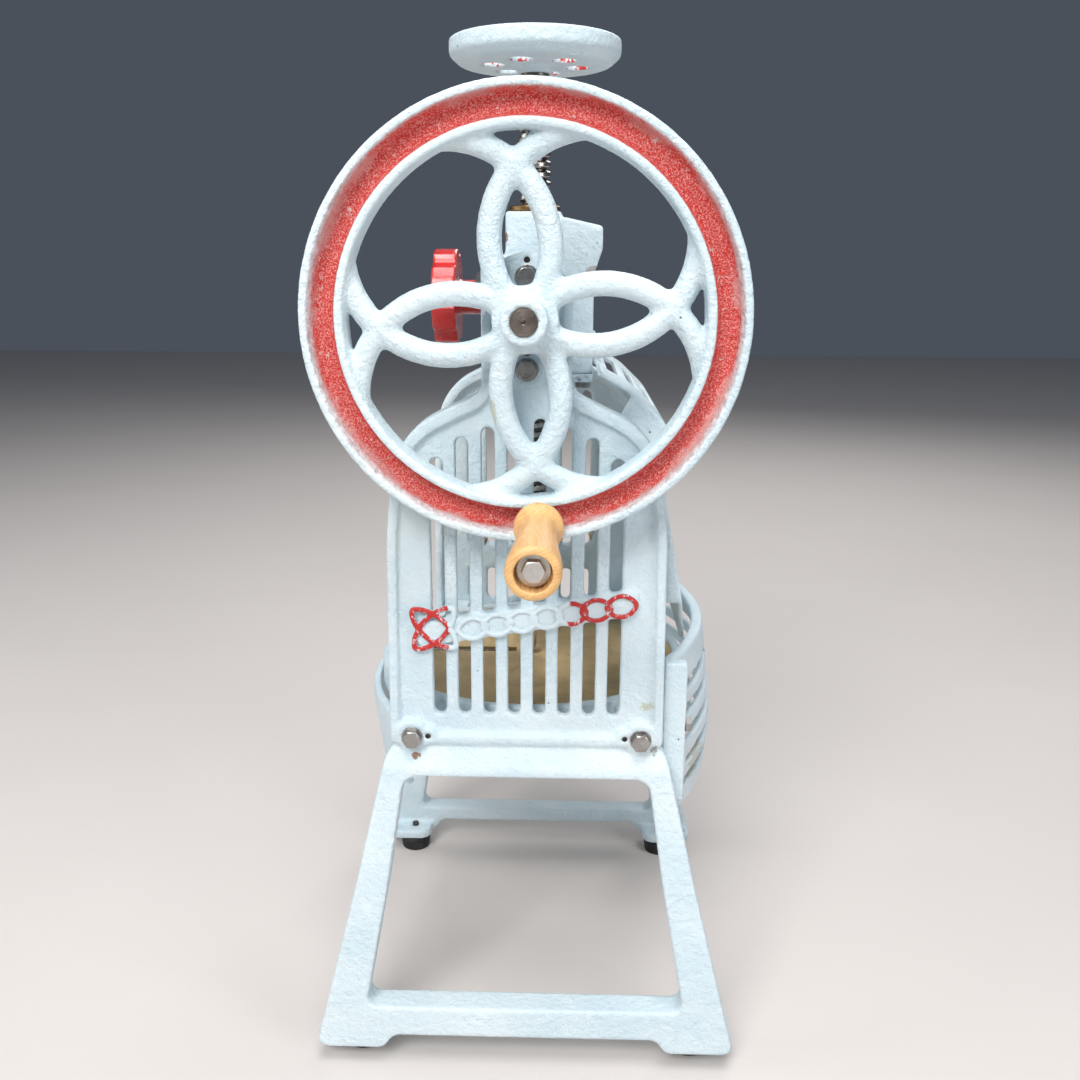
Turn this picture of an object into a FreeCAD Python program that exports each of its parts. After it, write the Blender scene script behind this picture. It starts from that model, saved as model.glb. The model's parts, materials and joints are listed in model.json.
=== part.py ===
import FreeCAD, Part
import math
import os
import re
from FreeCAD import Placement, Rotation, Vector

# Hand-cranked block ice shaver.
#
# Two cast frames, front and rear, stand on rubber feet.  They carry a table ring with a flat
# blade disc and, above it, a head casting.  The crank wheel turns a bevel pinion, the pinion
# turns a crown gear, and a sliding key in the gear turns the feed screw with the spiked
# presser plate that holds the ice.  The feed nut in the tower is held still by a brake knob,
# so the turning screw also moves down.
#
# Frame: +Z up, the operator stands on the -Y side, +X is the operator's right.  The origin
# lies on the surface that the feet rest on, under the axis of the feed screw.

SIZES = {
    # main heights and reaches
    "shaft_height": 546, "table_top": 264, "frame_face": 140, "plate_thickness": 8,
    "border_rise": 5, "border_depth": 18, "border_width": 7,
    # frame castings
    "neck_half": 29.5, "neck_top": 587, "neck_foot": 498, "shoulder_half": 88,
    "shoulder_height": 470, "side_half_upper": 96, "side_half_lower": 97.7,
    "plate_foot": 246, "sill_foot": 223, "leg_spread": 155, "leg_width": 34,
    "leg_top_half": 88, "pad_foot": 14, "pad_thickness": 9, "pad_width": 50,
    "bar_foot": 24, "bar_top": 47, "rear_bar_top": 39, "foot_reach": 177,
    "rear_foot_reach": 162, "leg_depth": 20, "pad_depth": 44,
    "slot_width": 8.6, "slot_pitch": 17.6, "slot_foot": 267, "band_rise": 3,
    "front_band_left": 327, "front_band_right": 353, "band_half_width": 77,
    "front_band_half": 9, "rear_band_height": 309, "rear_band_half": 12,
    "boss_radius": 16.5, "boss_rise": 12, "bolt_pad_rise": 6, "bolt_pad_radius": 11.5,
    "corner_bolt_across": 81.4, "corner_bolt_height": 252, "upper_bolt_height": 571.5,
    "lower_bolt_height": 513, "locator_radius": 2.2, "locator_offset": 11,
    "anchor_across": 145, "anchor_inset": 31, "anchor_radius": 4.5,
    "foot_across": 124, "foot_inset": 29, "foot_radius": 15, "foot_screw_radius": 3,
    # eight millimetre bolts and smaller screws
    "bolt_radius": 4, "bolt_head_radius": 6.93, "bolt_head_height": 5.3,
    "washer_radius": 7.75, "washer_thickness": 1.4, "bolt_reach": 26,
    "small_radius": 3, "small_head_radius": 5.6, "small_head_height": 4.4,
    "head_face_ratio": 0.83, "head_chamfer_run": 1.7,
    # head casting
    "tower_half": 21, "tower_top": 617, "housing_left": 38, "housing_right": 45,
    "housing_brow": 51, "housing_foot": 500, "housing_half_depth": 46,
    "gear_space_radius": 34.5, "gear_space_top": 537.3, "pinion_space_radius": 19.5,
    "pinion_space_start": 43, "pinion_space_end": 15, "arm_half": 17, "arm_foot": 520,
    "arm_top": 571.4, "flange_half": 22, "flange_foot": 500, "flange_top": 579.3,
    "flange_depth": 14, "cover_thickness": 6, "cover_screw_inset": 7,
    # crank
    "wheel_radius": 140, "wheel_front": 181, "wheel_back": 155, "channel_outer": 134.5,
    "channel_inner": 117.5, "channel_depth": 12, "lip_inner": 112, "petal_radius": 64.5,
    "petal_tube": 7.9, "petal_plane": 167.4, "hub_radius": 14.7, "hub_front": 196,
    "hub_back": 152.6, "hub_web_radius": 21, "wheel_lean": 4.2, "grip_offset": 128.8,
    "shaft_radius": 8.3, "shaft_tip": 197, "shaft_neck_radius": 6, "shaft_neck": 44,
    "shaft_end": 21, "bush_radius": 12, "running_gap": 0.06, "bush_length": 32,
    "inner_bush_length": 15, "grip_start": 183, "grip_end": 292, "grip_flange": 16,
    "grip_waist": 11.4, "grip_bulge": 15.9, "counterbore_radius": 10.8,
    "counterbore_depth": 10.5, "grip_bolt_radius": 5, "grip_washer_thickness": 1.5,
    "grip_boss_radius": 9.4,
    # bevel gears
    "pinion_teeth": 16, "pinion_pitch_radius": 15, "gear_pitch_radius": 30,
    "face_ratio": 0.7, "addendum": 1.3, "dedendum": 2.1, "tooth_half": 1.15,
    "tooth_inset": 0.012,
    "gear_hub_radius": 18, "gear_hub_foot": 488, "gear_hub_top": 533.5,
    "gear_web_foot": 510, "gear_rim_radius": 32, "drive_bush_radius": 22,
    "drive_bush_foot": 486, "drive_bush_top": 506, "thrust_thickness": 3.6,
    "key_half": 2.5, "key_inner": 9.4, "key_outer": 14, "key_gap": 0.3,
    # feed screw and presser
    "screw_radius": 12, "screw_foot": 385, "screw_shoulder": 714, "spigot_radius": 7,
    "spigot_top": 735, "keyway_depth": 3, "keyway_top": 690, "nut_radius": 16.5,
    "nut_foot": 537.5, "nut_flange_radius": 19.5, "nut_flange_top": 621.5,
    "presser_radius": 61, "presser_foot": 377, "presser_thickness": 6,
    "presser_hub_radius": 20, "presser_hub_top": 400, "spike_length": 14,
    "spike_radius": 2.6, "spike_ring": 48, "spike_inner_ring": 26,
    "presser_bolt_reach": 16,
    # top wheel
    "dish_radius": 63, "dish_foot": 719, "dish_top": 737, "dish_wall": 4.5,
    "dish_hub_radius": 15, "dish_hub_top": 726.5, "dish_hole_radius": 9,
    "dish_hole_ring": 31.6, "dish_hole_start": -107, "dish_nut_radius": 12.2,
    # table and blade
    "ring_radius": 125, "ring_top": 267, "ring_foot": 244, "disc_radius": 117,
    "disc_thickness": 5, "ledge_radius": 106, "table_arm_half": 13,
    "table_arm_thickness": 13, "lug_inner": 65, "lug_outer": 89, "slit_inner": 14,
    "slit_outer": 106, "slit_before": 3, "slit_behind": 7, "blade_thickness": 2.5, "blade_length": 34,
    "blade_tilt": 50, "blade_inner": 16, "blade_outer": 104, "clamp_thickness": 6,
    "centre_screw_radius": 7, "blade_screw_radius": 3.2,
    # skirts and guard
    "skirt_reach": 146, "skirt_top": 305, "skirt_foot": 184, "skirt_wall": 5,
    "skirt_plan_radius": 252, "skirt_half_angle": 32, "skirt_slot": 8.5,
    "skirt_slot_pitch": 18, "skirt_slot_start": 202, "skirt_slot_angle": 27.5,
    "skirt_rail": 9, "skirt_tuck": 7.5, "post_inner": 98.2, "post_outer": 115,
    "post_face": 131.5, "post_depth": 10.5, "post_foot": 197, "skirt_screw_height": 256,
    "skirt_screw_along": 126.5, "apron_reach": 132.4, "apron_plan_radius": 180,
    "apron_half_angle": 37, "apron_top": 249, "apron_foot": 192, "apron_taper": 6,
    "apron_screw_across": 95, "apron_screw_along": 70, "guard_wall": 3.5, "guard_half_depth": 113,
    "guard_foot": 293, "guard_flange": 17, "guard_slot_half": 58, "guard_slot_width": 9,
    "guard_tab_top": 527, "guard_screw_height": 517.5, "guard_screw_along": 28,
    # brake
    "brake_height": 554, "stud_radius": 5, "knob_radius": 36, "knob_outer": 76,
    "knob_inner": 58, "knob_hub_radius": 13, "knob_hub_end": 40, "knob_lobes": 7,
    "knob_dish_radius": 24, "knob_scallop_radius": 9, "shoe_start": 24.5,
    "shoe_gap": 0.35, "knob_nut_radius": 8, "knob_nut_height": 5,
}

doc = FreeCAD.newDocument("ice_shaver")
sheet = doc.addObject("Spreadsheet::Sheet", "sizes")
for row, (alias, number) in enumerate(SIZES.items(), start=1):
    sheet.set("A%d" % row, alias)
    sheet.set("B%d" % row, str(number))
    sheet.setAlias("B%d" % row, alias)
doc.recompute()

AXES = {"X": Vector(1, 0, 0), "Y": Vector(0, 1, 0), "Z": Vector(0, 0, 1)}
TURN = {"X": Rotation(Vector(0, 1, 0), 90), "Y": Rotation(Vector(1, 0, 0), -90),
        "Z": Rotation()}
# each plane's first and second sketch axis are the two letters of its name
PLANES = {"XY": Rotation(), "XZ": Rotation(Vector(1, 0, 0), 90),
          "YZ": Rotation(Vector(1, 1, 1), 120)}
NODES = []


def size(alias):
    """The number that the sheet holds under this alias."""
    return float(sheet.get(alias))


def bound(expression):
    """The expression with every alias written as a reference to the sheet."""
    def reference(match):
        word = match.group()
        return "sizes." + word if word in SIZES else word
    return re.sub(r"[a-z_]{3,}", reference, str(expression))


def bind(thing, **expressions):
    """Drive properties of an object from expressions over the sheet's aliases."""
    for name, expression in expressions.items():
        thing.setExpression(name, bound(expression))
    return thing


def put(thing, x="0", y="0", z="0", rotation=None):
    """Place an object at a point given by expressions."""
    if rotation is not None:
        thing.Placement = Placement(Vector(), rotation)
    for letter, expression in (("x", x), ("y", y), ("z", z)):
        if str(expression) != "0":
            thing.setExpression("Placement.Base." + letter, bound(expression))
    return thing


def node(thing, name):
    """Name a finished sub-part; its label is the name of its file."""
    thing.Label = name
    NODES.append(thing)
    return thing


def box(name, x, y, z):
    """A block between pairs of expressions along each axis."""
    thing = doc.addObject("Part::Box", name)
    bind(thing, Length="(%s) - (%s)" % (x[1], x[0]), Width="(%s) - (%s)" % (y[1], y[0]),
         Height="(%s) - (%s)" % (z[1], z[0]))
    return put(thing, x[0], y[0], z[0])


def rod(name, axis, radius, start, end, across=("0", "0")):
    """A cylinder along an axis; across is its place on the two other axes, in order."""
    thing = doc.addObject("Part::Cylinder", name)
    bind(thing, Radius=radius, Height="(%s) - (%s)" % (end, start))
    return put(thing, *places(axis, start, across), rotation=TURN[axis])


def cone(name, axis, radii, start, end, across=("0", "0")):
    """A truncated cone along an axis."""
    thing = doc.addObject("Part::Cone", name)
    bind(thing, Radius1=radii[0], Radius2=radii[1], Height="(%s) - (%s)" % (end, start))
    return put(thing, *places(axis, start, across), rotation=TURN[axis])


def hexagon(name, axis, radius, start, end, across=("0", "0")):
    """A six-sided prism along an axis; radius is to its corners."""
    thing = doc.addObject("Part::Prism", name)
    thing.Polygon = 6
    bind(thing, Circumradius=radius, Height="(%s) - (%s)" % (end, start))
    return put(thing, *places(axis, start, across), rotation=TURN[axis])


def places(axis, start, across):
    """The x, y and z expressions of a point at start along the axis."""
    rest = list(across)
    return [start if letter == axis else rest.pop(0) for letter in "XYZ"]


def bolt_head(name, axis, radius, start, end, across=("0", "0"), outward=-1):
    """A hexagon head; the corners of its outer face are turned off by a cone."""
    blank = hexagon(name + "_hexagon", axis, radius, start, end, across)
    narrow = "(%s) * head_face_ratio" % radius
    wide = "%s + ((%s) - (%s)) * head_chamfer_run" % (narrow, end, start)
    radii = (narrow, wide) if outward < 0 else (wide, narrow)
    return common(name, blank, cone(name + "_turned", axis, radii, start, end, across))


def fuse(name, *things):
    thing = doc.addObject("Part::MultiFuse", name)
    thing.Shapes = list(things)
    return thing


def common(name, *things):
    thing = doc.addObject("Part::MultiCommon", name)
    thing.Shapes = list(things)
    return thing


def cut(name, base, *tools):
    thing = doc.addObject("Part::Cut", name)
    thing.Base = base
    thing.Tool = tools[0] if len(tools) == 1 else fuse(name + "_tools", *tools)
    return thing


def group(name, things):
    """Identical separate pieces kept as one node."""
    thing = doc.addObject("Part::Compound", name + "_set")
    thing.Links = list(things)
    return node(thing, name)


def rounded(corners):
    """Line and arc geometry of a closed outline; a corner is (a, b) or (a, b, radius)."""
    count = len(corners)
    turns = []
    for index, corner in enumerate(corners):
        here = Vector(corner[0], corner[1], 0)
        back = Vector(*corners[index - 1][:2], 0) - here
        ahead = Vector(*corners[(index + 1) % count][:2], 0) - here
        back.normalize()
        ahead.normalize()
        radius = corner[2] if len(corner) > 2 else 0
        half = back.getAngle(ahead) / 2
        trim = radius / math.tan(half)
        inward = (back + ahead).normalize() if radius else Vector()
        middle = here + inward * (radius / math.sin(half) - radius)
        turns.append((here + back * trim, middle, here + ahead * trim, radius))
    geometry = []
    for index, (enter, middle, leave, radius) in enumerate(turns):
        if radius:
            geometry.append(Part.Arc(enter, middle, leave))
        target = turns[(index + 1) % count][0]
        if leave.distanceToPoint(target) > 1e-6:
            geometry.append(Part.LineSegment(leave, target))
    return geometry


def outline(name, plane, corners, x="0", y="0", z="0"):
    """A sketch with one closed outline in a plane through the given point."""
    sketch = doc.addObject("Sketcher::SketchObject", name + "_outline")
    sketch.addGeometry(rounded(corners))
    return put(sketch, x, y, z, rotation=PLANES[plane])


def slab(name, plane, corners, start, end):
    """A flat piece: an outline in one plane, thick between two expressions."""
    letter = ({"X", "Y", "Z"} - set(plane)).pop()
    sketch = outline(name, plane, corners, **{letter.lower(): start})
    thing = doc.addObject("Part::Extrusion", name)
    thing.Base = sketch
    thing.DirMode = "Custom"
    thing.Dir = AXES[letter]
    thing.Solid = True
    return bind(thing, LengthFwd="(%s) - (%s)" % (end, start))


def turned(name, axis, corners, x="0", y="0", z="0", angle=360):
    """A turned piece: an outline of (radius, place along the axis) about that axis."""
    plane = {"Y": "XY", "Z": "XZ"}[axis]
    sketch = outline(name, plane, corners, x, y, z)
    thing = doc.addObject("Part::Revolution", name)
    thing.Source = sketch
    thing.Axis = AXES[axis]
    thing.Angle = angle
    thing.Solid = True
    for letter, expression in (("x", x), ("y", y), ("z", z)):
        if str(expression) != "0":
            thing.setExpression("Base." + letter, bound(expression))
    return thing


def rounded_block(name, x, z, y, radius):
    """A slab across Y whose four corners in the XZ plane are rounded."""
    corners = [(x[0], z[0], radius), (x[1], z[0], radius), (x[1], z[1], radius),
               (x[0], z[1], radius)]
    return slab(name, "XZ", corners, *y)


# ---------------------------------------------------------------- frame castings

def mirrored(right_half):
    """A closed outline from its right half, listed from top to bottom."""
    return right_half + [(-c[0],) + tuple(c[1:]) for c in reversed(right_half)]


def plate_corners(inset):
    """The slotted plate: round neck, ogee shoulders and nearly straight sides."""
    neck = size("neck_half") - inset
    return mirrored([
        (neck, size("neck_top") - inset, neck - 0.2),
        (neck, size("neck_foot") - inset, 14 + inset),
        (size("shoulder_half") - inset, size("shoulder_height") - inset, 55 - inset),
        (size("side_half_upper") - inset, 400, 300),
        (size("side_half_lower") - inset, size("plate_foot") + inset, 3),
    ])


def leg_corners():
    """Both splayed legs and the foot bar, seen from the front, with their outer edge."""
    spread = size("leg_spread")
    pad_inner = spread - size("pad_width")
    return mirrored([
        (size("side_half_lower"), size("plate_foot") + 8, 30),
        (size("side_half_lower") + 26, 140, 700),
        (spread, size("pad_foot"), 6),
        (pad_inner, size("pad_foot"), 4),
        (pad_inner - 8, size("bar_foot"), 8),
    ])


def leg_window_corners(bar_top):
    """The open window between the legs, above the foot bar."""
    top = size("leg_top_half")
    return mirrored([
        (top, size("sill_foot"), 12),
        (top + 12, 140, 500),
        (size("leg_spread") - size("leg_width") - 4, bar_top, 7),
    ])


def lean_corners(reach):
    """The side view of the legs: upright at the plate, then leaning outwards."""
    face = size("frame_face")
    back = face - size("plate_thickness")
    depth = size("leg_depth")
    return [(-face, 262), (-face, size("plate_foot") + 2, 3),
            (-face - 11, size("sill_foot") + 6, 8), (-reach + 4, 60, 60),
            (-reach, size("pad_foot")), (-reach + depth + 2, size("pad_foot")),
            (-reach + depth + 6, 60, 60), (-back, size("sill_foot"), 20), (-back, 262)]


SLOT_TOPS = [480, 474, 467, 453]


def frame_casting(name, band, bored, reach, bar_top, skirt_side):
    """One frame, built as the front one: its outer face is on the -Y side."""
    face, back = "-frame_face", "-frame_face + plate_thickness"
    rim = slab(name + "_rim", "XZ", plate_corners(0), "-frame_face - border_rise",
               "-frame_face + border_depth")
    rim_hollow = slab(name + "_rim_hollow", "XZ", plate_corners(size("border_width")),
                      "-frame_face - border_rise - 1", "-frame_face + border_depth + 1")
    # behind the plate the sill is left open, so that the table's lugs can reach the plate
    lug_room = box(name + "_lug_room", ("-lug_outer - 0.6", "lug_outer + 0.6"),
                   (back, "-frame_face + border_depth + 1"), ("plate_foot - 1", "ring_top"))
    border = cut(name + "_border", rim, rim_hollow, lug_room)
    plate = slab(name + "_plate", "XZ", plate_corners(0), face, back)
    slots = []
    for index, top in enumerate(SLOT_TOPS):
        for side in (-1, 1):
            middle = side * (index + 0.5) * size("slot_pitch")
            half = size("slot_width") / 2
            slots.append(rounded_block("%s_slot_%d_%s" % (name, index, "lr"[side > 0]),
                                       (middle - half, middle + half),
                                       (size("slot_foot"), top),
                                       ("-frame_face - 1", back + " + 1"), half - 0.1))
    slotted = cut(name + "_slotted", plate, *slots)
    legs_front = slab(name + "_legs_front", "XZ", leg_corners(), "-%s - 5" % reach,
                      "-frame_face + 12")
    window = slab(name + "_window", "XZ", leg_window_corners(size(bar_top)),
                  "-%s - 6" % reach, "-frame_face + 13")
    legs_side = slab(name + "_legs_side", "YZ", lean_corners(size(reach)),
                     "-leg_spread - 5", "leg_spread + 5")
    legs = common(name + "_legs", cut(name + "_legs_open", legs_front, window), legs_side)
    relief = slab(name + "_band", "XZ", band, "-frame_face - band_rise", back)
    solids = [border, slotted, legs, relief,
              rod(name + "_boss", "Y", "boss_radius", "-frame_face - boss_rise", back,
                  ("0", "shaft_height"))]
    holes = []
    if bored:
        holes.append(rod(name + "_bore", "Y", "bush_radius", "-frame_face - 20",
                         "-frame_face + 20", ("0", "shaft_height")))
    for index, (x, z, inboard) in enumerate(BOLTS):
        at = (x, z)
        solids.append(rod("%s_bolt_pad_%d" % (name, index), "Y", "bolt_pad_radius",
                          "-frame_face - bolt_pad_rise", back, at))
        locator = locator_place(x, z, inboard)
        solids.append(rod("%s_locator_pad_%d" % (name, index), "Y", "locator_radius + 4",
                          "-frame_face - bolt_pad_rise", back, locator))
        holes.append(rod("%s_bolt_hole_%d" % (name, index), "Y", "bolt_radius",
                         "-frame_face - 20", "-frame_face + 20", at))
        holes.append(rod("%s_locator_hole_%d" % (name, index), "Y", "locator_radius",
                         "-frame_face - 20", "-frame_face + 20", locator))
    for side in (-1, 1):
        tag = "lr"[side > 0]
        pad_inner = side * (size("leg_spread") - size("pad_width") + 2)
        pad_outer = side * (size("leg_spread") - 1)
        pad_back = size("pad_depth") - size(reach)
        corners = [(pad_inner, 3 - size(reach)), (pad_outer, 3 - size(reach), 4),
                   (pad_outer, pad_back, 12), (pad_inner, pad_back, 12)]
        solids.append(slab("%s_pad_%s" % (name, tag), "XY", corners, "pad_foot",
                           "pad_foot + pad_thickness"))
        holes.append(rod("%s_anchor_%s" % (name, tag), "Z", "anchor_radius", "pad_foot - 5",
                         "pad_foot + 30",
                         ("%d * anchor_across" % side, "anchor_inset - %s" % reach)))
        holes.append(rod("%s_foot_hole_%s" % (name, tag), "Z", "foot_screw_radius",
                         "pad_foot - 5", "pad_foot + 30",
                         ("%d * foot_across" % side, "foot_inset - %s" % reach)))
    holes.append(rod(name + "_skirt_hole", "X", "small_radius",
                     "%d * post_inner - 12" % skirt_side,
                     "%d * post_inner + 12" % skirt_side,
                     ("-skirt_screw_along", "skirt_screw_height")))
    return cut(name, fuse(name + "_solid", *solids), *holes)


# each bolt: x, z and which way its small locating screw lies from it
BOLTS = [("0", "upper_bolt_height", "up"), ("0", "lower_bolt_height", "up"),
         ("-corner_bolt_across", "corner_bolt_height", "right"),
         ("corner_bolt_across", "corner_bolt_height", "left")]


def locator_place(x, z, way):
    """Where the locating screw beside a bolt sits, as expressions of x and z."""
    if way == "up":
        return (x, z + " + locator_offset - 0.5")
    return (x + (" + " if way == "right" else " - ") + "locator_offset", z)


def slanted_band():
    """The slanted band across the front slots."""
    reach, half = size("band_half_width"), size("front_band_half")
    left, right = size("front_band_left"), size("front_band_right")
    return [(-reach, left - half, 4), (reach, right - half, 4), (reach, right + half, 4),
            (-reach, left + half, 4)]


def level_band():
    """The level band across the rear slots."""
    reach, half = size("band_half_width"), size("rear_band_half")
    middle = size("rear_band_height")
    return [(-reach, middle - half, 4), (reach, middle - half, 4),
            (reach, middle + half, 4), (-reach, middle + half, 4)]


# only the front frame's boss carries a bearing; the rear one is left solid, its legs lean
# out less and its foot bar is lower
node(frame_casting("front_frame", slanted_band(), True, "foot_reach", "bar_top", 1),
     "front_frame")
rear = node(frame_casting("rear_frame", level_band(), False, "rear_foot_reach",
                          "rear_bar_top", -1), "rear_frame")
HALF_TURN = Placement(Vector(), Rotation(AXES["Z"], 180))
rear.Placement = HALF_TURN


def on_both_frames(things):
    """Copies of front-frame pieces for the rear frame, by half a turn about Z."""
    rear_things = []
    for thing in things:
        link = doc.addObject("Part::Compound", thing.Name + "_rear")
        link.Links = [thing]
        link.Placement = HALF_TURN
        rear_things.append(link)
    return list(things) + rear_things


# ---------------------------------------------------------------- frame fasteners

def frame_bolt(name, x, z):
    """A hexagon bolt through the plate into the casting behind it."""
    seat = "-frame_face - bolt_pad_rise - washer_thickness"
    head = bolt_head(name + "_head", "Y", "bolt_head_radius",
                     seat + " - bolt_head_height", seat, (x, z))
    shank = rod(name + "_shank", "Y", "bolt_radius", seat,
                "-frame_face + plate_thickness + bolt_reach - 8", (x, z))
    return fuse(name, head, shank)


def frame_washer(name, x, z):
    start = "-frame_face - bolt_pad_rise - washer_thickness"
    outer = rod(name + "_outer", "Y", "washer_radius", start, start + " + washer_thickness",
                (x, z))
    inner = rod(name + "_inner", "Y", "bolt_radius", start + " - 1",
                start + " + washer_thickness + 1", (x, z))
    return cut(name, outer, inner)


def locating_screw(name, x, z):
    start = "-frame_face - bolt_pad_rise + 1.2"
    body = rod(name + "_body", "Y", "locator_radius", start,
               "-frame_face + plate_thickness + 4", (x, z))
    socket = hexagon(name + "_socket", "Y", "locator_radius * 0.55", start + " - 1",
                     start + " + 1.5", (x, z))
    return cut(name, body, socket)


group("head_bolts", on_both_frames([frame_bolt("head_bolt_%d" % i, *BOLTS[i][:2])
                                    for i in (0, 1)]))
group("table_bolts", on_both_frames([frame_bolt("table_bolt_%d" % i, *BOLTS[i][:2])
                                     for i in (2, 3)]))
group("bolt_washers", on_both_frames([frame_washer("washer_%d" % i, x, z)
                                      for i, (x, z, way) in enumerate(BOLTS)]))
group("locating_screws", on_both_frames([
    locating_screw("locator_%d" % i, *locator_place(x, z, way))
    for i, (x, z, way) in enumerate(BOLTS)]))


def rubber_foot(name, x, y):
    body = cone(name + "_body", "Z", ("foot_radius - 1.5", "foot_radius"), "0", "pad_foot",
                (x, y))
    recess = rod(name + "_recess", "Z", "foot_screw_radius + 4", "0 - 1", "5", (x, y))
    bore = rod(name + "_bore", "Z", "foot_screw_radius", "0", "pad_foot + 1", (x, y))
    return cut(name, body, recess, bore)


def foot_screw(name, x, y):
    head = rod(name + "_head", "Z", "foot_screw_radius + 2.6", "1.6", "5", (x, y))
    shank = rod(name + "_shank", "Z", "foot_screw_radius", "5",
                "pad_foot + pad_thickness + 2", (x, y))
    return fuse(name, head, shank)


FEET = [("%d * foot_across" % sx, y) for sx in (-1, 1)
        for y in ("foot_inset - foot_reach", "rear_foot_reach - foot_inset")]
group("rubber_feet", [rubber_foot("foot_%d" % i, x, y) for i, (x, y) in enumerate(FEET)])
group("foot_screws", [foot_screw("foot_screw_%d" % i, x, y)
                      for i, (x, y) in enumerate(FEET)])

# ---------------------------------------------------------------- head casting

def head_casting():
    """Gear housing with tower, on two arms that end in flanges at the frames' necks."""
    left, right, brow = size("housing_left"), size("housing_right"), size("housing_brow")
    tower, top, foot = size("tower_half"), size("tower_top"), size("housing_foot")
    corners = [(-left, foot, 3), (right, foot, 3), (right, 572, 5), (brow, 590, 4),
               (brow, 606, 2.5), (tower, 612.5), (tower, top, 2), (-tower, top, 2),
               (-tower, 586, 3), (-left, 579, 5)]
    housing = slab("head_housing", "XZ", corners, "-housing_half_depth",
                   "housing_half_depth")
    # the tower and brow stand only over the middle of the housing
    trims = []
    for side in (-1, 1):
        near, far = ("tower_half + 2", "housing_half_depth + 1")
        span = (near, far) if side > 0 else ("-(%s)" % far, "-(%s)" % near)
        trims.append(box("head_trim_%s" % "fr"[side > 0], ("-housing_left - 1",
                     "tower_half + 0.5"), span, ("579.5", "tower_top + 1")))
    arms = box("head_arms", ("-arm_half", "arm_half"),
               ("-frame_face + plate_thickness", "frame_face - plate_thickness"),
               ("arm_foot", "arm_top"))
    solids = [cut("head_block", housing, *trims), arms]
    flange_round = size("flange_half") - 0.2
    flange_corners = [(-size("flange_half"), size("flange_foot"), 8),
                      (size("flange_half"), size("flange_foot"), 8),
                      (size("flange_half"), size("flange_top"), flange_round),
                      (-size("flange_half"), size("flange_top"), flange_round)]
    back = "frame_face - plate_thickness"
    solids.append(slab("head_flange_front", "XZ", flange_corners, "-(%s)" % back,
                       "-(%s) + flange_depth" % back))
    solids.append(slab("head_flange_rear", "XZ", flange_corners,
                       "%s - flange_depth" % back, back))
    holes = [
        rod("head_gear_space", "Z", "gear_space_radius", "housing_foot - 1",
            "gear_space_top"),
        rod("head_nut_bore", "Z", "nut_radius + running_gap", "gear_space_top - 1",
            "tower_top + 1"),
        rod("head_pinion_space", "Y", "pinion_space_radius", "-pinion_space_start",
            "-pinion_space_end", ("0", "shaft_height")),
        rod("head_shaft_bore", "Y", "bush_radius", "-frame_face", "-pinion_space_start + 1",
            ("0", "shaft_height")),
        rod("head_stud_bore", "X", "stud_radius + running_gap", "-housing_left - 1",
            "-shoe_start - 3", ("0", "brake_height")),
        rod("head_shoe_bore", "X", "stud_radius + 2 + running_gap", "-shoe_start - 3.4",
            "0 - 10", ("0", "brake_height")),
        rod("head_oil_hole", "X", "small_radius", "-housing_left - 1", "-housing_left + 8",
            ("-30", "brake_height + 14")),
    ]
    for side in (-1, 1):
        for i in (0, 1):
            x, z = BOLTS[i][:2]
            start = "-(%s) - 1" % back if side < 0 else back + " - bolt_reach + 7"
            end = "-(%s) + bolt_reach - 7" % back if side < 0 else back + " + 1"
            holes.append(rod("head_bolt_hole_%s_%d" % ("fr"[side > 0], i), "Y",
                             "bolt_radius", start, end, (x, z)))
            where = locator_place(x, z, "up")
            start = "-(%s) - 1" % back if side < 0 else back + " - 4.4"
            end = "-(%s) + 4.4" % back if side < 0 else back + " + 1"
            holes.append(rod("head_locator_hole_%s_%d" % ("fr"[side > 0], i), "Y",
                             "locator_radius", start, end, where))
    for x, y in COVER_SCREWS:
        holes.append(rod("head_cover_hole_%d" % len(holes), "Z", "small_radius",
                         "housing_foot - 1", "housing_foot + 9", (x, y)))
    for side in (-1, 1):
        holes.append(rod("head_guard_hole_%s" % "fr"[side > 0], "X", "small_radius",
                         "housing_right - 7", "housing_right + 1",
                         ("%d * guard_screw_along" % side, "guard_screw_height")))
    return cut("head_casting", fuse("head_solid", *solids), *holes)


COVER_SCREWS = [(x, "%d * (housing_half_depth - cover_screw_inset)" % side)
                for x in ("-housing_left + cover_screw_inset",
                          "housing_right - cover_screw_inset") for side in (-1, 1)]
node(head_casting(), "head_casting")

cover_plate = box("cover_plate", ("-housing_left", "housing_right"),
                  ("-housing_half_depth", "housing_half_depth"),
                  ("housing_foot - cover_thickness", "housing_foot"))
cover_holes = [rod("cover_bore", "Z", "drive_bush_radius", "housing_foot - 20",
                   "housing_foot + 20")]
for i, (x, y) in enumerate(COVER_SCREWS):
    cover_holes.append(rod("cover_hole_%d" % i, "Z", "small_radius", "housing_foot - 20",
                           "housing_foot + 20", (x, y)))
node(cut("gear_cover", cover_plate, *cover_holes), "gear_cover")


def small_screw(name, axis, seat, tip, across, head_side):
    """A small hexagon screw; its head stands on the seat, away from the tip."""
    if head_side < 0:
        span_head = ("(%s) - small_head_height" % seat, seat)
        span_shank = (seat, tip)
    else:
        span_head = (seat, "(%s) + small_head_height" % seat)
        span_shank = (tip, seat)
    head = bolt_head(name + "_head", axis, "small_head_radius", *span_head, across,
                     head_side)
    shank = rod(name + "_shank", axis, "small_radius", *span_shank, across)
    return fuse(name, head, shank)


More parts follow.
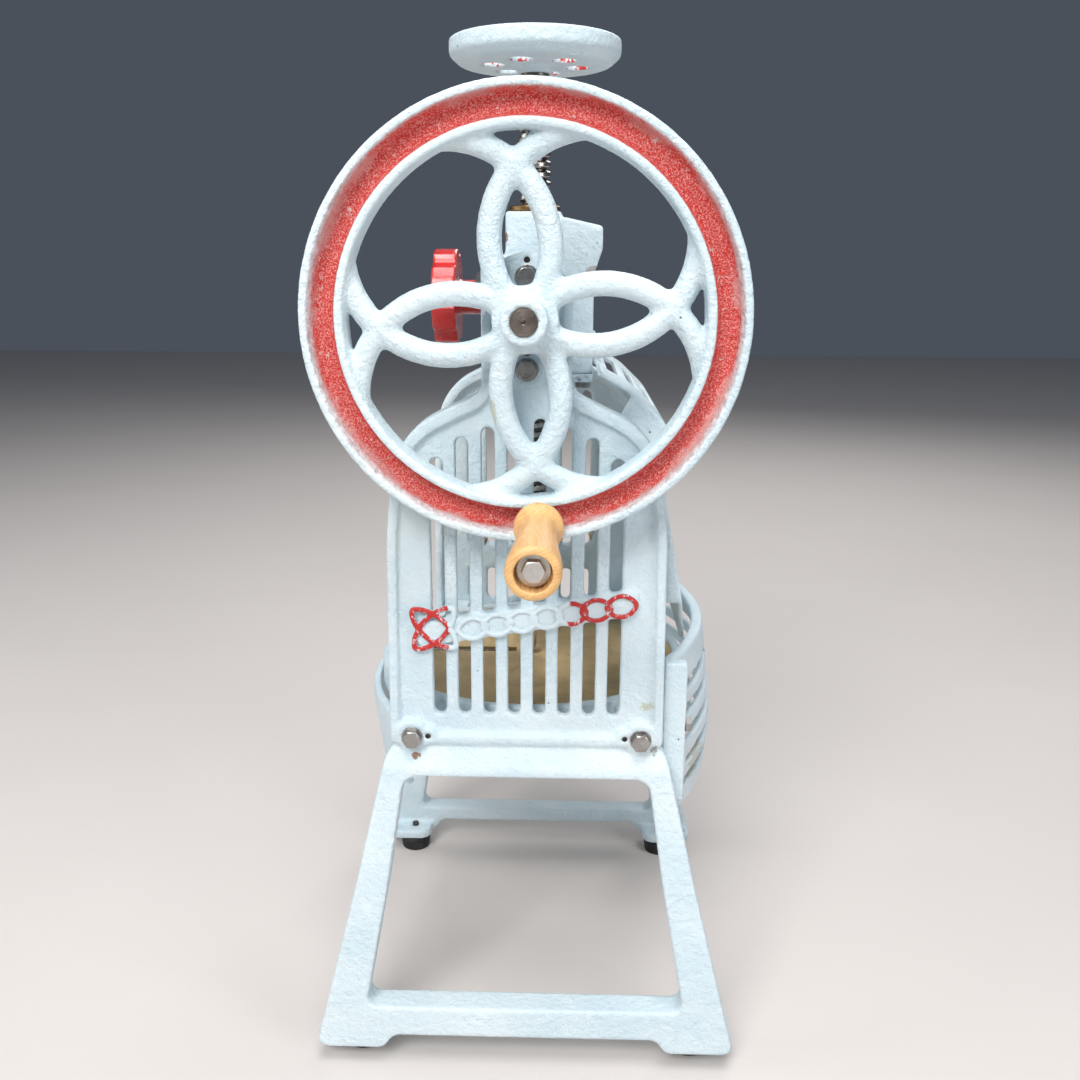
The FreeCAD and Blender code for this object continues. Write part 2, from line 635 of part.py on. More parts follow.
group("cover_screws", [small_screw("cover_screw_%d" % i, "Z",
                                   "housing_foot - cover_thickness", "housing_foot + 8",
                                   place, -1) for i, place in enumerate(COVER_SCREWS)])
node(small_screw("oil_screw_body", "X", "-housing_left", "-housing_left + 8",
                 ("-30", "brake_height + 14"), -1), "oil_screw")

# ---------------------------------------------------------------- bearings

def bush(name, axis, outer, inner, start, end, across):
    return node(cut(name + "_ring", rod(name + "_outer", axis, outer, start, end, across),
                    rod(name + "_bore", axis, inner, "(%s) - 1" % start, "(%s) + 1" % end,
                        across)), name)


bush("front_bush", "Y", "bush_radius", "shaft_radius + running_gap",
     "-frame_face - boss_rise", "-frame_face - boss_rise + bush_length",
     ("0", "shaft_height"))
bush("inner_bush", "Y", "bush_radius", "shaft_radius + running_gap",
     "-pinion_space_start - inner_bush_length", "-pinion_space_start - 1",
     ("0", "shaft_height"))
bush("drive_bush", "Z", "drive_bush_radius", "gear_hub_radius + running_gap",
     "drive_bush_foot", "drive_bush_top", ("0", "0"))
bush("thrust_washer", "Z", "drive_bush_radius + 4", "gear_hub_radius + 0.4",
     "drive_bush_top", "drive_bush_top + thrust_thickness", ("0", "0"))

# ---------------------------------------------------------------- crank

AT_SHAFT = ("0", "shaft_height")


def lean(thing):
    """Turn a crank piece to where the wheel stands at rest, about the shaft."""
    angle = -size("wheel_lean")
    centre = Vector(0, 0, size("shaft_height"))
    thing.Placement = Placement(Vector(), Rotation(AXES["Y"], angle), centre)
    return thing


def handwheel():
    """Rim with a channel in its face, four interlocking rings as spokes, and a hub."""
    front, back = -size("wheel_front"), -size("wheel_back")
    outer, lip = size("wheel_radius"), size("lip_inner")
    floor = front + size("channel_depth")
    rim = turned("wheel_rim", "Y", [(lip, back, 4), (outer, back, 4), (outer, front, 2),
                                    (lip, front, 2)], z="shaft_height")
    channel = turned("wheel_channel", "Y", [
        (size("channel_outer"), front - 1), (size("channel_outer"), front),
        (size("channel_outer") - 3, floor, 4.5), (size("channel_inner") + 2.5, floor, 4.5),
        (size("channel_inner"), front), (size("channel_inner"), front - 1)],
        z="shaft_height")
    petals = []
    for index in range(4):
        angle = math.radians(45 + 90 * index)
        ring = doc.addObject("Part::Torus", "wheel_petal_%d" % index)
        bind(ring, Radius1="petal_radius", Radius2="petal_tube")
        put(ring, "petal_radius * %.9f" % math.cos(angle), "-petal_plane",
            "shaft_height + petal_radius * %.9f" % math.sin(angle), rotation=TURN["Y"])
        middle = rod("wheel_petal_middle_%d" % index, "Y", "hub_web_radius - 1.5",
                     "-petal_plane - 20", "-petal_plane + 20", AT_SHAFT)
        petals.append(cut("wheel_petal_open_%d" % index, ring, middle))
    hub = rod("wheel_hub", "Y", "hub_radius", "-hub_front", "-hub_back", AT_SHAFT)
    web = rod("wheel_web", "Y", "hub_web_radius", "-petal_plane - petal_tube + 0.5",
              "-petal_plane + petal_tube - 0.5", AT_SHAFT)
    boss = rod("wheel_grip_boss", "Y", "grip_boss_radius", "-wheel_front + 0.5", "-wheel_back",
               ("0", "shaft_height - grip_offset"))
    bore = rod("wheel_bore", "Y", "shaft_radius", "-hub_front - 1", "-hub_back + 1", AT_SHAFT)
    bolt_hole = rod("wheel_bolt_hole", "Y", "grip_bolt_radius", "-wheel_front - 1",
                    "-wheel_back + 1", ("0", "shaft_height - grip_offset"))
    screw_hole = rod("wheel_screw_hole", "X", "small_radius", "-hub_radius - 8",
                     "-shaft_radius + 1", ("-hub_back - 3.8", "shaft_height"))
    channelled = cut("wheel_channelled", fuse("wheel_spoked", rim, *petals), channel)
    return cut("handwheel", fuse("wheel_solid", channelled, hub, web, boss), bore,
               bolt_hole, screw_hole)


node(lean(handwheel()), "handwheel")
hub_screw = cut("hub_screw_body",
                rod("hub_screw_shank", "X", "small_radius", "-hub_radius - 1",
                    "-shaft_radius - 0.35", ("-hub_back - 3.8", "shaft_height")),
                hexagon("hub_screw_socket", "X", "small_radius * 0.6", "-hub_radius - 2",
                        "-hub_radius + 1.5", ("-hub_back - 3.8", "shaft_height")))
node(lean(hub_screw), "hub_screw")

shaft_body = rod("shaft_body", "Y", "shaft_radius", "-shaft_tip", "-shaft_neck", AT_SHAFT)
shaft_neck = rod("shaft_neck_body", "Y", "shaft_neck_radius", "-shaft_neck", "-shaft_end",
                 AT_SHAFT)
shaft_centre = cone("shaft_centre_mark", "Y", ("1.6", "0.1"), "-shaft_tip", "-shaft_tip + 2",
                    AT_SHAFT)
pin_hole = rod("shaft_pin_hole", "X", "1.6", "-20", "20", ("-38", "shaft_height"))
node(cut("main_shaft", fuse("shaft_solid", shaft_body, shaft_neck), shaft_centre, pin_hole),
     "main_shaft")


def grip_profile():
    """The turned wooden grip: flange, waist, long swelling and rounded end."""
    start, end = -size("grip_start"), -size("grip_end")
    bore = size("grip_bolt_radius") + size("running_gap")
    return [(bore, start), (size("grip_flange"), start, 3), (size("grip_flange"), start - 8, 3),
            (size("grip_waist"), start - 15, 14), (size("grip_waist") + 0.8, start - 45, 60),
            (size("grip_bulge"), end + 16, 14), (size("grip_bulge"), end, 3.6),
            (size("counterbore_radius"), end, 1),
            (size("counterbore_radius"), end + size("counterbore_depth")),
            (bore, end + size("counterbore_depth"))]


def at_grip(thing):
    """Move a piece made about the Y axis at shaft height to the grip's place."""
    angle = math.radians(size("wheel_lean"))
    radius = size("grip_offset")
    thing.Placement = Placement(Vector(radius * math.sin(angle), 0,
                                       -radius * math.cos(angle)), Rotation())
    return thing


node(at_grip(turned("grip_body", "Y", grip_profile(), z="shaft_height")), "wood_grip")
SEAT = "-grip_end + counterbore_depth"
bolt_shank = rod("grip_bolt_shank", "Y", "grip_bolt_radius",
                 SEAT + " - 0.3 - grip_washer_thickness", "-wheel_back - 1.5", AT_SHAFT)
grip_head = bolt_head("grip_bolt_head", "Y", "bolt_head_radius",
                      SEAT + " - 0.3 - grip_washer_thickness - bolt_head_height",
                      SEAT + " - 0.3 - grip_washer_thickness", AT_SHAFT)
node(at_grip(fuse("grip_bolt_body", bolt_shank, grip_head)), "grip_bolt")
grip_washer = cut("grip_washer_ring",
                  rod("grip_washer_outer", "Y", "counterbore_radius - 1.2",
                      SEAT + " - 0.3 - grip_washer_thickness", SEAT + " - 0.3", AT_SHAFT),
                  rod("grip_washer_bore", "Y", "grip_bolt_radius",
                      SEAT + " - 3", SEAT + " + 1", AT_SHAFT))
node(at_grip(grip_washer), "grip_washer")

# ---------------------------------------------------------------- bevel gears

def bevel_teeth(pitch_radius, pitch_depth, count, phase, to_world):
    """Straight bevel teeth as solids that taper towards the point where the axes meet."""
    cone_length = math.hypot(pitch_radius, pitch_depth)
    rise = Vector(pitch_depth, pitch_radius, 0) / cone_length
    pitch_point = Vector(pitch_radius, -pitch_depth, 0)
    add, ded, half = size("addendum"), size("dedendum") + 0.6, size("tooth_half")
    section = []
    for height, width in ((-ded, half * 1.75), (add, half * 0.5)):
        point = pitch_point + rise * height
        section.append((point, width))
    solids = []
    for index in range(count):
        angle = phase + 2 * math.pi * index / count
        along = Vector(math.cos(angle), math.sin(angle), 0)
        across = Vector(-math.sin(angle), math.cos(angle), 0)
        rings = []
        # the teeth end a little short of the root cone's two edges
        for scale in (1 - size("tooth_inset"), size("face_ratio") + size("tooth_inset")):
            ring = []
            for point, width in section:
                for sign in (-1, 1):
                    here = along * point.x + across * (sign * width) + Vector(0, 0, point.y)
                    ring.append(to_world(here * scale))
            rings.append([ring[0], ring[1], ring[3], ring[2]])
        wires = [Part.makePolygon(ring + [ring[0]]) for ring in rings]
        solids.append(Part.makeLoft(wires, True, True))
    return solids


APEX = Vector(0, 0, size("shaft_height"))


def gear_to_world(point):
    """Crown gear: its axis is the world's Z axis and its teeth face up."""
    return APEX + point


def pinion_to_world(point):
    """Pinion: its axis runs along -Y from the point where the axes meet."""
    return APEX + Vector(point.x, point.z, -point.y)


def toothed(name, blank, teeth, bore):
    """A gear from a turned blank, tooth solids and a bore solid."""
    thing = doc.addObject("Part::Feature", name)
    shape = blank.multiFuse(teeth)
    thing.Shape = shape.cut(bore) if bore else shape
    return thing


def cone_blank(points, to_world):
    """A turned blank about the gear's own axis, from points (radius, place)."""
    corners = [to_world(Vector(r, 0, z)) for r, z in points]
    face = Part.Face(Part.makePolygon(corners + [corners[0]]))
    axis = to_world(Vector(0, 0, 1)) - APEX
    return face.revolve(APEX, axis, 360)


pinion_pitch, gear_pitch = size("pinion_pitch_radius"), size("gear_pitch_radius")
slant = math.hypot(pinion_pitch, gear_pitch)
root_drop = size("dedendum")
inner_scale = size("face_ratio")
# crown gear: pitch depth below the apex is the pinion's pitch radius
crown_root = (gear_pitch - root_drop * pinion_pitch / slant,
              -pinion_pitch - root_drop * gear_pitch / slant)
gear_bore = size("screw_radius") + size("running_gap")
hub_top = size("gear_hub_top") - size("shaft_height")
web_foot = size("gear_web_foot") - size("shaft_height")
hub_foot = size("gear_hub_foot") - size("shaft_height")
crown_points = [(gear_bore, hub_top), (size("gear_hub_radius"), hub_top),
                (crown_root[0] * inner_scale, crown_root[1] * inner_scale), crown_root,
                (size("gear_rim_radius"), crown_root[1] - 2),
                (size("gear_rim_radius"), web_foot), (size("gear_hub_radius"), web_foot),
                (size("gear_hub_radius"), hub_foot), (gear_bore, hub_foot)]
crown_blank = cone_blank(crown_points, gear_to_world)
crown_teeth = bevel_teeth(gear_pitch, pinion_pitch, int(2 * size("pinion_teeth")),
                          -math.pi / 2, gear_to_world)
key_slot = Part.makeBox(2 * size("key_half"), size("key_outer"), 60,
                        Vector(-size("key_half"), 0, size("gear_hub_foot") - 5))
node(toothed("crown_gear", crown_blank, crown_teeth, key_slot), "crown_gear")

pinion_root = (pinion_pitch - root_drop * gear_pitch / slant,
               -gear_pitch - root_drop * pinion_pitch / slant)
neck = size("shaft_neck_radius")
pinion_points = [(neck, pinion_root[1] * inner_scale),
                 (pinion_root[0] * inner_scale, pinion_root[1] * inner_scale), pinion_root,
                 (pinion_root[0], pinion_root[1] - 3), (10.5, pinion_root[1] - 5),
                 (10.5, -42), (neck, -42)]
pinion_blank = cone_blank(pinion_points, pinion_to_world)
pinion_phase = math.pi / 2 + math.pi / size("pinion_teeth")
pinion_teeth = bevel_teeth(pinion_pitch, gear_pitch, int(size("pinion_teeth")),
                           pinion_phase, pinion_to_world)
cross_hole = Part.makeCylinder(1.6, 30, Vector(-15, -38, size("shaft_height")), AXES["X"])
node(toothed("bevel_pinion", pinion_blank, pinion_teeth, cross_hole), "bevel_pinion")
node(rod("pinion_pin_body", "X", "1.6", "-10", "10", ("-38", "shaft_height")), "pinion_pin")
node(box("feather_key_body", ("-key_half", "key_half"), ("key_inner", "key_outer"),
         ("gear_hub_foot + 2", "gear_hub_top - 1")), "feather_key")

# ---------------------------------------------------------------- feed nut, screw, presser

nut_profile = [(size("screw_radius") + size("running_gap"), size("nut_foot")),
               (size("nut_radius"), size("nut_foot"), 1),
               (size("nut_radius"), size("tower_top") + 0.4),
               (size("nut_flange_radius"), size("tower_top") + 0.4, 0.8),
               (size("nut_flange_radius"), size("nut_flange_top"), 1.2),
               (size("screw_radius") + size("running_gap"), size("nut_flange_top"))]
node(turned("nut_body", "Z", nut_profile), "feed_nut")

screw_solid = fuse("screw_solid",
                   rod("screw_rod", "Z", "screw_radius", "screw_foot", "screw_shoulder"),
                   rod("screw_spigot", "Z", "spigot_radius", "screw_shoulder", "spigot_top"))
keyway = box("screw_keyway", ("-key_half - key_gap", "key_half + key_gap"),
             ("screw_radius - keyway_depth", "screw_radius + 1"),
             ("screw_foot + 18", "keyway_top"))
tapped = rod("screw_tapped_hole", "Z", "bolt_radius", "screw_foot - 1",
             "presser_foot + presser_bolt_reach + 1")
node(cut("feed_screw_body", screw_solid, keyway, tapped), "feed_screw")


def top_wheel():
    """The dished hand wheel on the top of the screw, with round holes in its web."""
    foot, top, wall = size("dish_foot"), size("dish_top"), size("dish_wall")
    radius, hub, hub_top_z = size("dish_radius"), size("dish_hub_radius"), size("dish_hub_top")
    profile = [(size("spigot_radius"), size("screw_shoulder")), (hub - 2, foot - 5, 1.5),
               (hub, foot, 3), (radius - 8, foot, 9), (radius, foot + 7, 4), (radius, top, 1.8),
               (radius - wall, top, 1.8), (radius - wall - 1.5, foot + wall + 1, 6),
               (hub, foot + wall, 3), (hub - 1, hub_top_z, 1), (size("spigot_radius"), hub_top_z)]
    holes = []
    for index in range(6):
        angle = math.radians(size("dish_hole_start") + 60 * index)
        holes.append(rod("dish_hole_%d" % index, "Z", "dish_hole_radius", "dish_foot - 5",
                         "dish_foot + 12", ("dish_hole_ring * %.9f" % math.cos(angle),
                                            "dish_hole_ring * %.9f" % math.sin(angle))))
    return cut("top_wheel", turned("dish_body", "Z", profile), *holes)


node(top_wheel(), "top_wheel")
nut_blank = bolt_head("top_nut_blank", "Z", "dish_nut_radius", "dish_hub_top",
                      "spigot_top - 0.5", outward=1)
node(cut("top_nut_body", nut_blank, rod("top_nut_bore", "Z", "spigot_radius",
                                        "dish_hub_top - 1", "spigot_top + 1")), "top_nut")

RINGS = [("spike_ring", 14), ("spike_inner_ring", 7)]


def spike_places():
    """Where the spikes stand in the presser plate, as expressions of x and y."""
    found = []
    for ring, count in RINGS:
        for index in range(count):
            angle = 2 * math.pi * (index + 0.5) / count
            found.append(("%s * %.9f" % (ring, math.cos(angle)),
                          "%s * %.9f" % (ring, math.sin(angle))))
    return found


def presser_plate():
    """Round plate with a hub, six ribs and a raised edge."""
    foot, thick = size("presser_foot"), size("presser_thickness")
    radius, hub, bore = size("presser_radius"), size("presser_hub_radius"), size("screw_radius")
    profile = [(size("bolt_radius"), foot), (radius, foot, 1.5), (radius, foot + 11, 2),
               (radius - 5, foot + 11, 2), (radius - 6, foot + thick, 2),
               (hub, foot + thick, 3), (hub - 1, size("presser_hub_top"), 1.5),
               (bore, size("presser_hub_top")), (bore, size("screw_foot")),
               (size("bolt_radius"), size("screw_foot"))]
    body = turned("presser_body", "Z", profile)
    ribs = []
    for index in range(6):
        rib = slab("presser_rib_%d" % index, "XZ", [
            (hub - 3, foot + 3), (radius - 3, foot + 3), (radius - 5, foot + 10),
            (hub - 3, size("presser_hub_top") - 4)], "-2", "2")
        turn = doc.addObject("Part::Compound", "presser_rib_turned_%d" % index)
        turn.Links = [rib]
        turn.Placement = Placement(Vector(), Rotation(AXES["Z"], 60 * index))
        ribs.append(turn)
    holes = [rod("spike_hole_%d" % i, "Z", "spike_radius", "presser_foot - 1",
                 "presser_foot + 4", place) for i, place in enumerate(spike_places())]
    return cut("presser_plate", fuse("presser_solid", body, *ribs), *holes)


node(presser_plate(), "presser_plate")


def spike(name, place):
    stem = rod(name + "_stem", "Z", "spike_radius", "presser_foot - spike_length + 6",
               "presser_foot + 4", place)
    tip = cone(name + "_tip", "Z", ("0.3", "spike_radius"), "presser_foot - spike_length",
               "presser_foot - spike_length + 6", place)
    return fuse(name, stem, tip)


group("presser_spikes", [spike("spike_%d" % i, place)
                         for i, place in enumerate(spike_places())])
presser_head = bolt_head("presser_bolt_head", "Z", "bolt_head_radius",
                         "presser_foot - bolt_head_height", "presser_foot")
presser_shank = rod("presser_bolt_shank", "Z", "bolt_radius", "presser_foot",
                    "presser_foot + presser_bolt_reach")
node(fuse("presser_bolt_body", presser_head, presser_shank), "presser_bolt")

# ---------------------------------------------------------------- table, disc and blade

def table_ring():
    """Ring with a ledge for the disc, a cross arm below it and four bolting lugs."""
    solids = [rod("ring_outer", "Z", "ring_radius", "ring_foot", "ring_top")]
    back = "frame_face - plate_thickness"
    for sx in (-1, 1):
        for sy in (-1, 1):
            x = ("lug_inner", "lug_outer") if sx > 0 else ("-lug_outer", "-lug_inner")
            y = ("80", back) if sy > 0 else ("-(%s)" % back, "-80")
            solids.append(box("ring_lug_%s%s" % ("lr"[sx > 0], "fr"[sy > 0]), x, y,
                              ("ring_foot - 4", "ring_top - 2")))
    opening = rod("ring_opening", "Z", "ledge_radius", "ring_foot - 9", "ring_top + 9")
    recess = rod("ring_recess", "Z", "disc_radius", "table_top - disc_thickness",
                 "ring_top + 9")
    open_ring = cut("ring_open", fuse("ring_blank", *solids), opening, recess)
    arm = box("ring_arm", ("-table_arm_half", "table_arm_half"),
              ("-ledge_radius - 3", "ledge_radius + 3"),
              ("table_top - disc_thickness - table_arm_thickness",
               "table_top - disc_thickness"))
    holes = [rod("ring_centre_hole", "Z", "bolt_radius", "table_top - 40", "table_top")]
    for i in (2, 3):
        x, z = BOLTS[i][:2]
        where = locator_place(x, z, BOLTS[i][2])
        holes.append(rod("ring_bolt_hole_%d" % i, "Y", "bolt_radius", "-(%s) - 1" % back,
                         "-(%s) + bolt_reach - 7" % back, (x, z)))
        holes.append(rod("ring_bolt_hole_back_%d" % i, "Y", "bolt_radius",
                         back + " - bolt_reach + 7", back + " + 1", (x, z)))
        holes.append(rod("ring_locator_hole_%d" % i, "Y", "locator_radius",
                         "-(%s) - 1" % back, "-(%s) + 4.4" % back, where))
        holes.append(rod("ring_locator_hole_back_%d" % i, "Y", "locator_radius",
                         back + " - 4.4", back + " + 1", where))
    for sy in (-1, 1):
        holes.append(rod("ring_apron_hole_%s" % "fr"[sy > 0], "Z", "small_radius",
                         "ring_foot - 1", "ring_foot + 9",
                         ("-apron_screw_across", "%d * apron_screw_along" % sy)))
    return cut("table_ring", fuse("ring_solid", open_ring, arm), *holes)


node(table_ring(), "table_ring")

disc_blank = rod("disc_blank", "Z", "disc_radius", "table_top - disc_thickness", "table_top")
slit = box("disc_slit", ("-slit_outer", "-slit_inner"), ("-slit_before", "slit_behind"),
           ("table_top - 20", "table_top + 20"))
disc_sink = cone("disc_sink", "Z", ("bolt_radius", "centre_screw_radius"), "table_top - 3",
                 "table_top")
disc_hole = rod("disc_hole", "Z", "bolt_radius", "table_top - 20", "table_top + 20")
node(cut("disc_body", disc_blank, slit, disc_sink, disc_hole), "blade_disc")

screw_head = cone("centre_screw_head", "Z", ("bolt_radius", "centre_screw_radius"),
                  "table_top - 3", "table_top")
screw_shank = rod("centre_screw_shank", "Z", "bolt_radius", "table_top - 18",
                  "table_top - 3")
screw_groove = box("centre_screw_groove", ("-8", "8"), ("-0.6", "0.6"),
                   ("table_top - 1.2", "table_top + 1"))
node(cut("centre_screw_body", fuse("centre_screw_solid", screw_head, screw_shank),
         screw_groove), "disc_centre_screw")


def tilted(name, thing):
    """Tilt a blade piece, made about the blade's edge, and carry it up to the slit."""
    turn = doc.addObject("Part::Compound", name)
    turn.Links = [thing]
    turn.Placement = Placement(Vector(0, -1.2, size("table_top") + 0.4),
                               Rotation(AXES["X"], -size("blade_tilt")))
    return turn


blade_blank = slab("blade_blank", "YZ", [
    (0, 0), (4, 0.001), (size("blade_length"), 0),
    (size("blade_length"), -size("blade_thickness")), (5, -size("blade_thickness"))],
    "-blade_outer", "-blade_inner")
clamp_block = box("clamp_block", ("-blade_outer + 8", "-blade_inner - 8"),
                  ("14", "blade_length"), ("-blade_thickness - clamp_thickness",
                                           "-blade_thickness"))
blade_holes, clamp_holes, blade_screw_list = [], [], []
for index, x in enumerate(("-blade_outer + 22", "-blade_inner - 22")):
    for holes, owner in ((blade_holes, "blade"), (clamp_holes, "clamp")):
        holes.append(rod("%s_hole_%d" % (owner, index), "Z", "blade_screw_radius", "-20",
                         "10", (x, "24")))
    head = rod("blade_screw_head_%d" % index, "Z", "blade_screw_radius + 3",
               "-blade_thickness - clamp_thickness - 6",
               "-blade_thickness - clamp_thickness", (x, "24"))
    shank = rod("blade_screw_shank_%d" % index, "Z", "blade_screw_radius",
                "-blade_thickness - clamp_thickness", "0", (x, "24"))
    blade_screw_list.append(tilted("blade_screw_%d" % index,
                                   fuse("blade_screw_body_%d" % index, head, shank)))
node(tilted("knife_blade", cut("blade_body", blade_blank, *blade_holes)), "knife_blade")
node(tilted("blade_clamp", cut("clamp_body", clamp_block, *clamp_holes)), "blade_clamp")
group("blade_screws", blade_screw_list)

# ---------------------------------------------------------------- skirts and guard

def slotted_skirt(name):
    """The right side's slotted, bulging skirt, with a post at each end."""
    reach, top, foot = size("skirt_plan_radius"), size("skirt_top"), size("skirt_foot")
    wall, rail = size("skirt_wall"), size("skirt_rail")
    lip = reach - size("skirt_tuck")
    # the wall is fullest below its middle and stays wide at its foot
    full, full_height = reach + 1.5, 226
    profile = [(lip - rail, top, 2), (lip, top, 2), (full, full_height, 110),
               (reach - 2, foot, 2), (reach - 2 - wall, foot + 1, 2),
               (full - wall, full_height, 105), (lip - wall + 0.6, top - rail, 1),
               (lip - rail, top - rail, 1)]
    centre = "skirt_reach - skirt_plan_radius"
    middle = size("skirt_reach") - reach
    half_angle = size("skirt_half_angle")
    shell = turned(name + "_shell", "Z", profile, x=centre, angle=2 * half_angle)
    slots = []
    for index in range(5):
        low = size("skirt_slot_start") + index * size("skirt_slot_pitch")
        high = low + size("skirt_slot")
        cutter = [(reach - 40, low), (reach + 10, low, 2), (reach + 10, high, 2),
                  (reach - 40, high)]
        slots.append(turned("%s_slot_%d" % (name, index), "Z", cutter, x=centre,
                            angle=2 * size("skirt_slot_angle")))
    shell_turned = turn_about(name + "_shell_turned", shell, middle, -half_angle)
    slots_turned = [turn_about("%s_slot_turned_%d" % (name, i), slot, middle,
                               -size("skirt_slot_angle")) for i, slot in enumerate(slots)]
    posts, holes = [], []
    for sy in (-1, 1):
        tag = "fr"[sy > 0]
        y = (("post_face - post_depth", "post_face") if sy > 0 else
             ("-post_face", "-post_face + post_depth"))
        posts.append(box("%s_post_%s" % (name, tag), ("post_inner", "post_outer"), y,
                         ("post_foot", "skirt_top")))
        holes.append(rod("%s_hole_%s" % (name, tag), "X", "small_radius", "post_inner - 1",
                         "post_outer + 20", ("%d * skirt_screw_along" % sy,
                                             "skirt_screw_height")))
    lattice = cut(name + "_lattice", shell_turned, *slots_turned)
    ends = box(name + "_ends", ("post_inner", "skirt_reach + 10"),
               ("-post_face", "post_face"), ("skirt_foot - 5", "skirt_top + 5"))
    return cut(name, fuse(name + "_solid", common(name + "_fitted", lattice, ends), *posts),
               *holes)


def turn_about(name, thing, middle, angle):
    """Turn a piece about an upright line through a point on the X axis."""
    turn = doc.addObject("Part::Compound", name)
    turn.Links = [thing]
    turn.Placement = Placement(Vector(), Rotation(AXES["Z"], angle), Vector(middle, 0, 0))
    return turn


def low_apron(name):
    """The left side's low apron, which hangs from the table ring on two tabs."""
    radius, top, foot = size("apron_plan_radius"), size("apron_top"), size("apron_foot")
    wall, taper = size("skirt_wall"), size("apron_taper")
    profile = [(radius - wall - 1, top, 1), (radius, top, 2), (radius, top - 12, 30),
               (radius - taper, foot, 2), (radius - taper - wall, foot, 2),
               (radius - wall, top - 12, 30), (radius - wall - 1, top - 6, 1)]
    middle = radius - size("apron_reach")
    half_angle = size("apron_half_angle")
    shell = turned(name + "_shell", "Z", profile, x="apron_plan_radius - apron_reach",
                   angle=2 * half_angle)
    shell_turned = turn_about(name + "_shell_turned", shell, middle, 180 - half_angle)
    tabs, holes = [], []
    for sy in (-1, 1):
        tag = "fr"[sy > 0]
        along = "%d * apron_screw_along" % sy
        tabs.append(box("%s_tab_%s" % (name, tag),
                        ("-apron_screw_across - 20", "-apron_screw_across + 8"),
                        (along + " - 8", along + " + 8"), ("ring_foot - 5", "ring_foot")))
        holes.append(rod("%s_hole_%s" % (name, tag), "Z", "small_radius", "ring_foot - 6",
                         "ring_foot + 1", ("-apron_screw_across", along)))
    return cut(name, fuse(name + "_solid", shell_turned, *tabs), *holes)


node(slotted_skirt("right_skirt"), "right_skirt")
node(low_apron("left_skirt"), "left_skirt")
skirt_screws = []
for sy in (-1, 1):
    tag = "fr"[sy > 0]
    skirt_screws.append(small_screw("skirt_screw_r" + tag, "X", "post_outer",
                                    "post_inner - 5.5",
                                    ("%d * skirt_screw_along" % sy, "skirt_screw_height"),
                                    1))
    skirt_screws.append(small_screw("skirt_screw_l" + tag, "Z", "ring_foot - 5",
                                    "ring_foot + 8",
                                    ("-apron_screw_across", "%d * apron_screw_along" % sy),
                                    -1))
group("skirt_screws", skirt_screws)


def guard_corners():
    """The guard's section: a tab on the head, an ogee shoulder and a splayed side."""
    wall = size("guard_wall")
    inner = size("housing_right")
    outer = [(inner, size("guard_tab_top")), (inner + wall, size("guard_tab_top"), 1),
             (inner + wall, 509, 6)] + guard_side(0)
    inward = list(reversed(guard_side(wall))) + [(inner, 507, 6)]
    return outer + inward


def guard_side(inset):
    """The shoulder and side of the guard, from top to bottom, moved inwards by inset."""
    return [(72 - inset * 0.5, 496 - inset, 40 - inset),
            (99 - inset, 470 - inset * 0.7, 26 - inset), (96 - inset, 424, 60),
            (111 - inset, 345, 400), (121 - inset, size("guard_foot"))]


guard_shell = slab("guard_shell", "XZ", guard_corners(), "-guard_half_depth",
                   "guard_half_depth")
guard_slots = []
# the slots lie across the shoulder, one after another down its slope
GUARD_SLOTS = [(59, 501, -27), (74, 493, -35), (87, 481, -44)]
for index, (x, z, angle) in enumerate(GUARD_SLOTS):
    half = size("guard_slot_width") / 2
    cutter = slab("guard_cutter_%d" % index, "XZ", [(-half, -9), (half, -9), (half, 9),
                                                    (-half, 9)],
                  "-guard_slot_half", "guard_slot_half")
    turned_cutter = doc.addObject("Part::Compound", "guard_slot_%d" % index)
    turned_cutter.Links = [cutter]
    turned_cutter.Placement = Placement(Vector(x, 0, z), Rotation(AXES["Y"], -angle))
    guard_slots.append(turned_cutter)
# above the shoulder only the tab between the arms' sides remains
tab_trims = [box("guard_tab_trim_f", ("housing_right - 1", "housing_right + guard_wall + 1"),
                 ("-guard_half_depth - 1", "-40"), ("506", "guard_tab_top + 1")),
             box("guard_tab_trim_r", ("housing_right - 1", "housing_right + guard_wall + 1"),
                 ("40", "guard_half_depth + 1"), ("506", "guard_tab_top + 1"))]
corner_cuts = []
for side in (-1, 1):
    # the lower corners are cut back, so that the guard drops inside the curved skirt
    edge, low = size("guard_half_depth"), size("guard_foot")
    corners = [(side * (edge + 2), low - 2), (side * (edge + 2), 372),
               (side * (edge + 0.01), 372), (side * edge, 345, 12), (side * 46, low, 12),
               (side * 30, low), (side * 30, low - 2)]
    corner_cuts.append(slab("guard_corner_%s" % "fr"[side > 0], "YZ", corners, "60", "140"))
# a flange stiffens the guard's front and rear edges
flanges = []
for side in (-1, 1):
    outside, inside = guard_side(1), guard_side(size("guard_flange"))
    section = [outside[0][:2]] + outside[1:] + inside[:0:-1] + [inside[0][:2]]
    span = (("guard_half_depth - guard_wall", "guard_half_depth") if side > 0 else
            ("-guard_half_depth", "-guard_half_depth + guard_wall"))
    flanges.append(slab("guard_flange_%s" % "fr"[side > 0], "XZ", section, *span))
guard_holes = [rod("guard_hole_%s" % "fr"[side > 0], "X", "small_radius",
                   "housing_right - 1", "housing_right + 20",
                   ("%d * guard_screw_along" % side, "guard_screw_height"))
               for side in (-1, 1)]
node(cut("side_guard", fuse("guard_solid", guard_shell, *flanges), *guard_slots,
         *tab_trims, *corner_cuts, *guard_holes), "side_guard")
group("guard_screws", [small_screw("guard_screw_%s" % "fr"[side > 0], "X",
                                   "housing_right + guard_wall", "housing_right - 6",
                                   ("%d * guard_screw_along" % side, "guard_screw_height"),
                                   1) for side in (-1, 1)])

# ---------------------------------------------------------------- brake

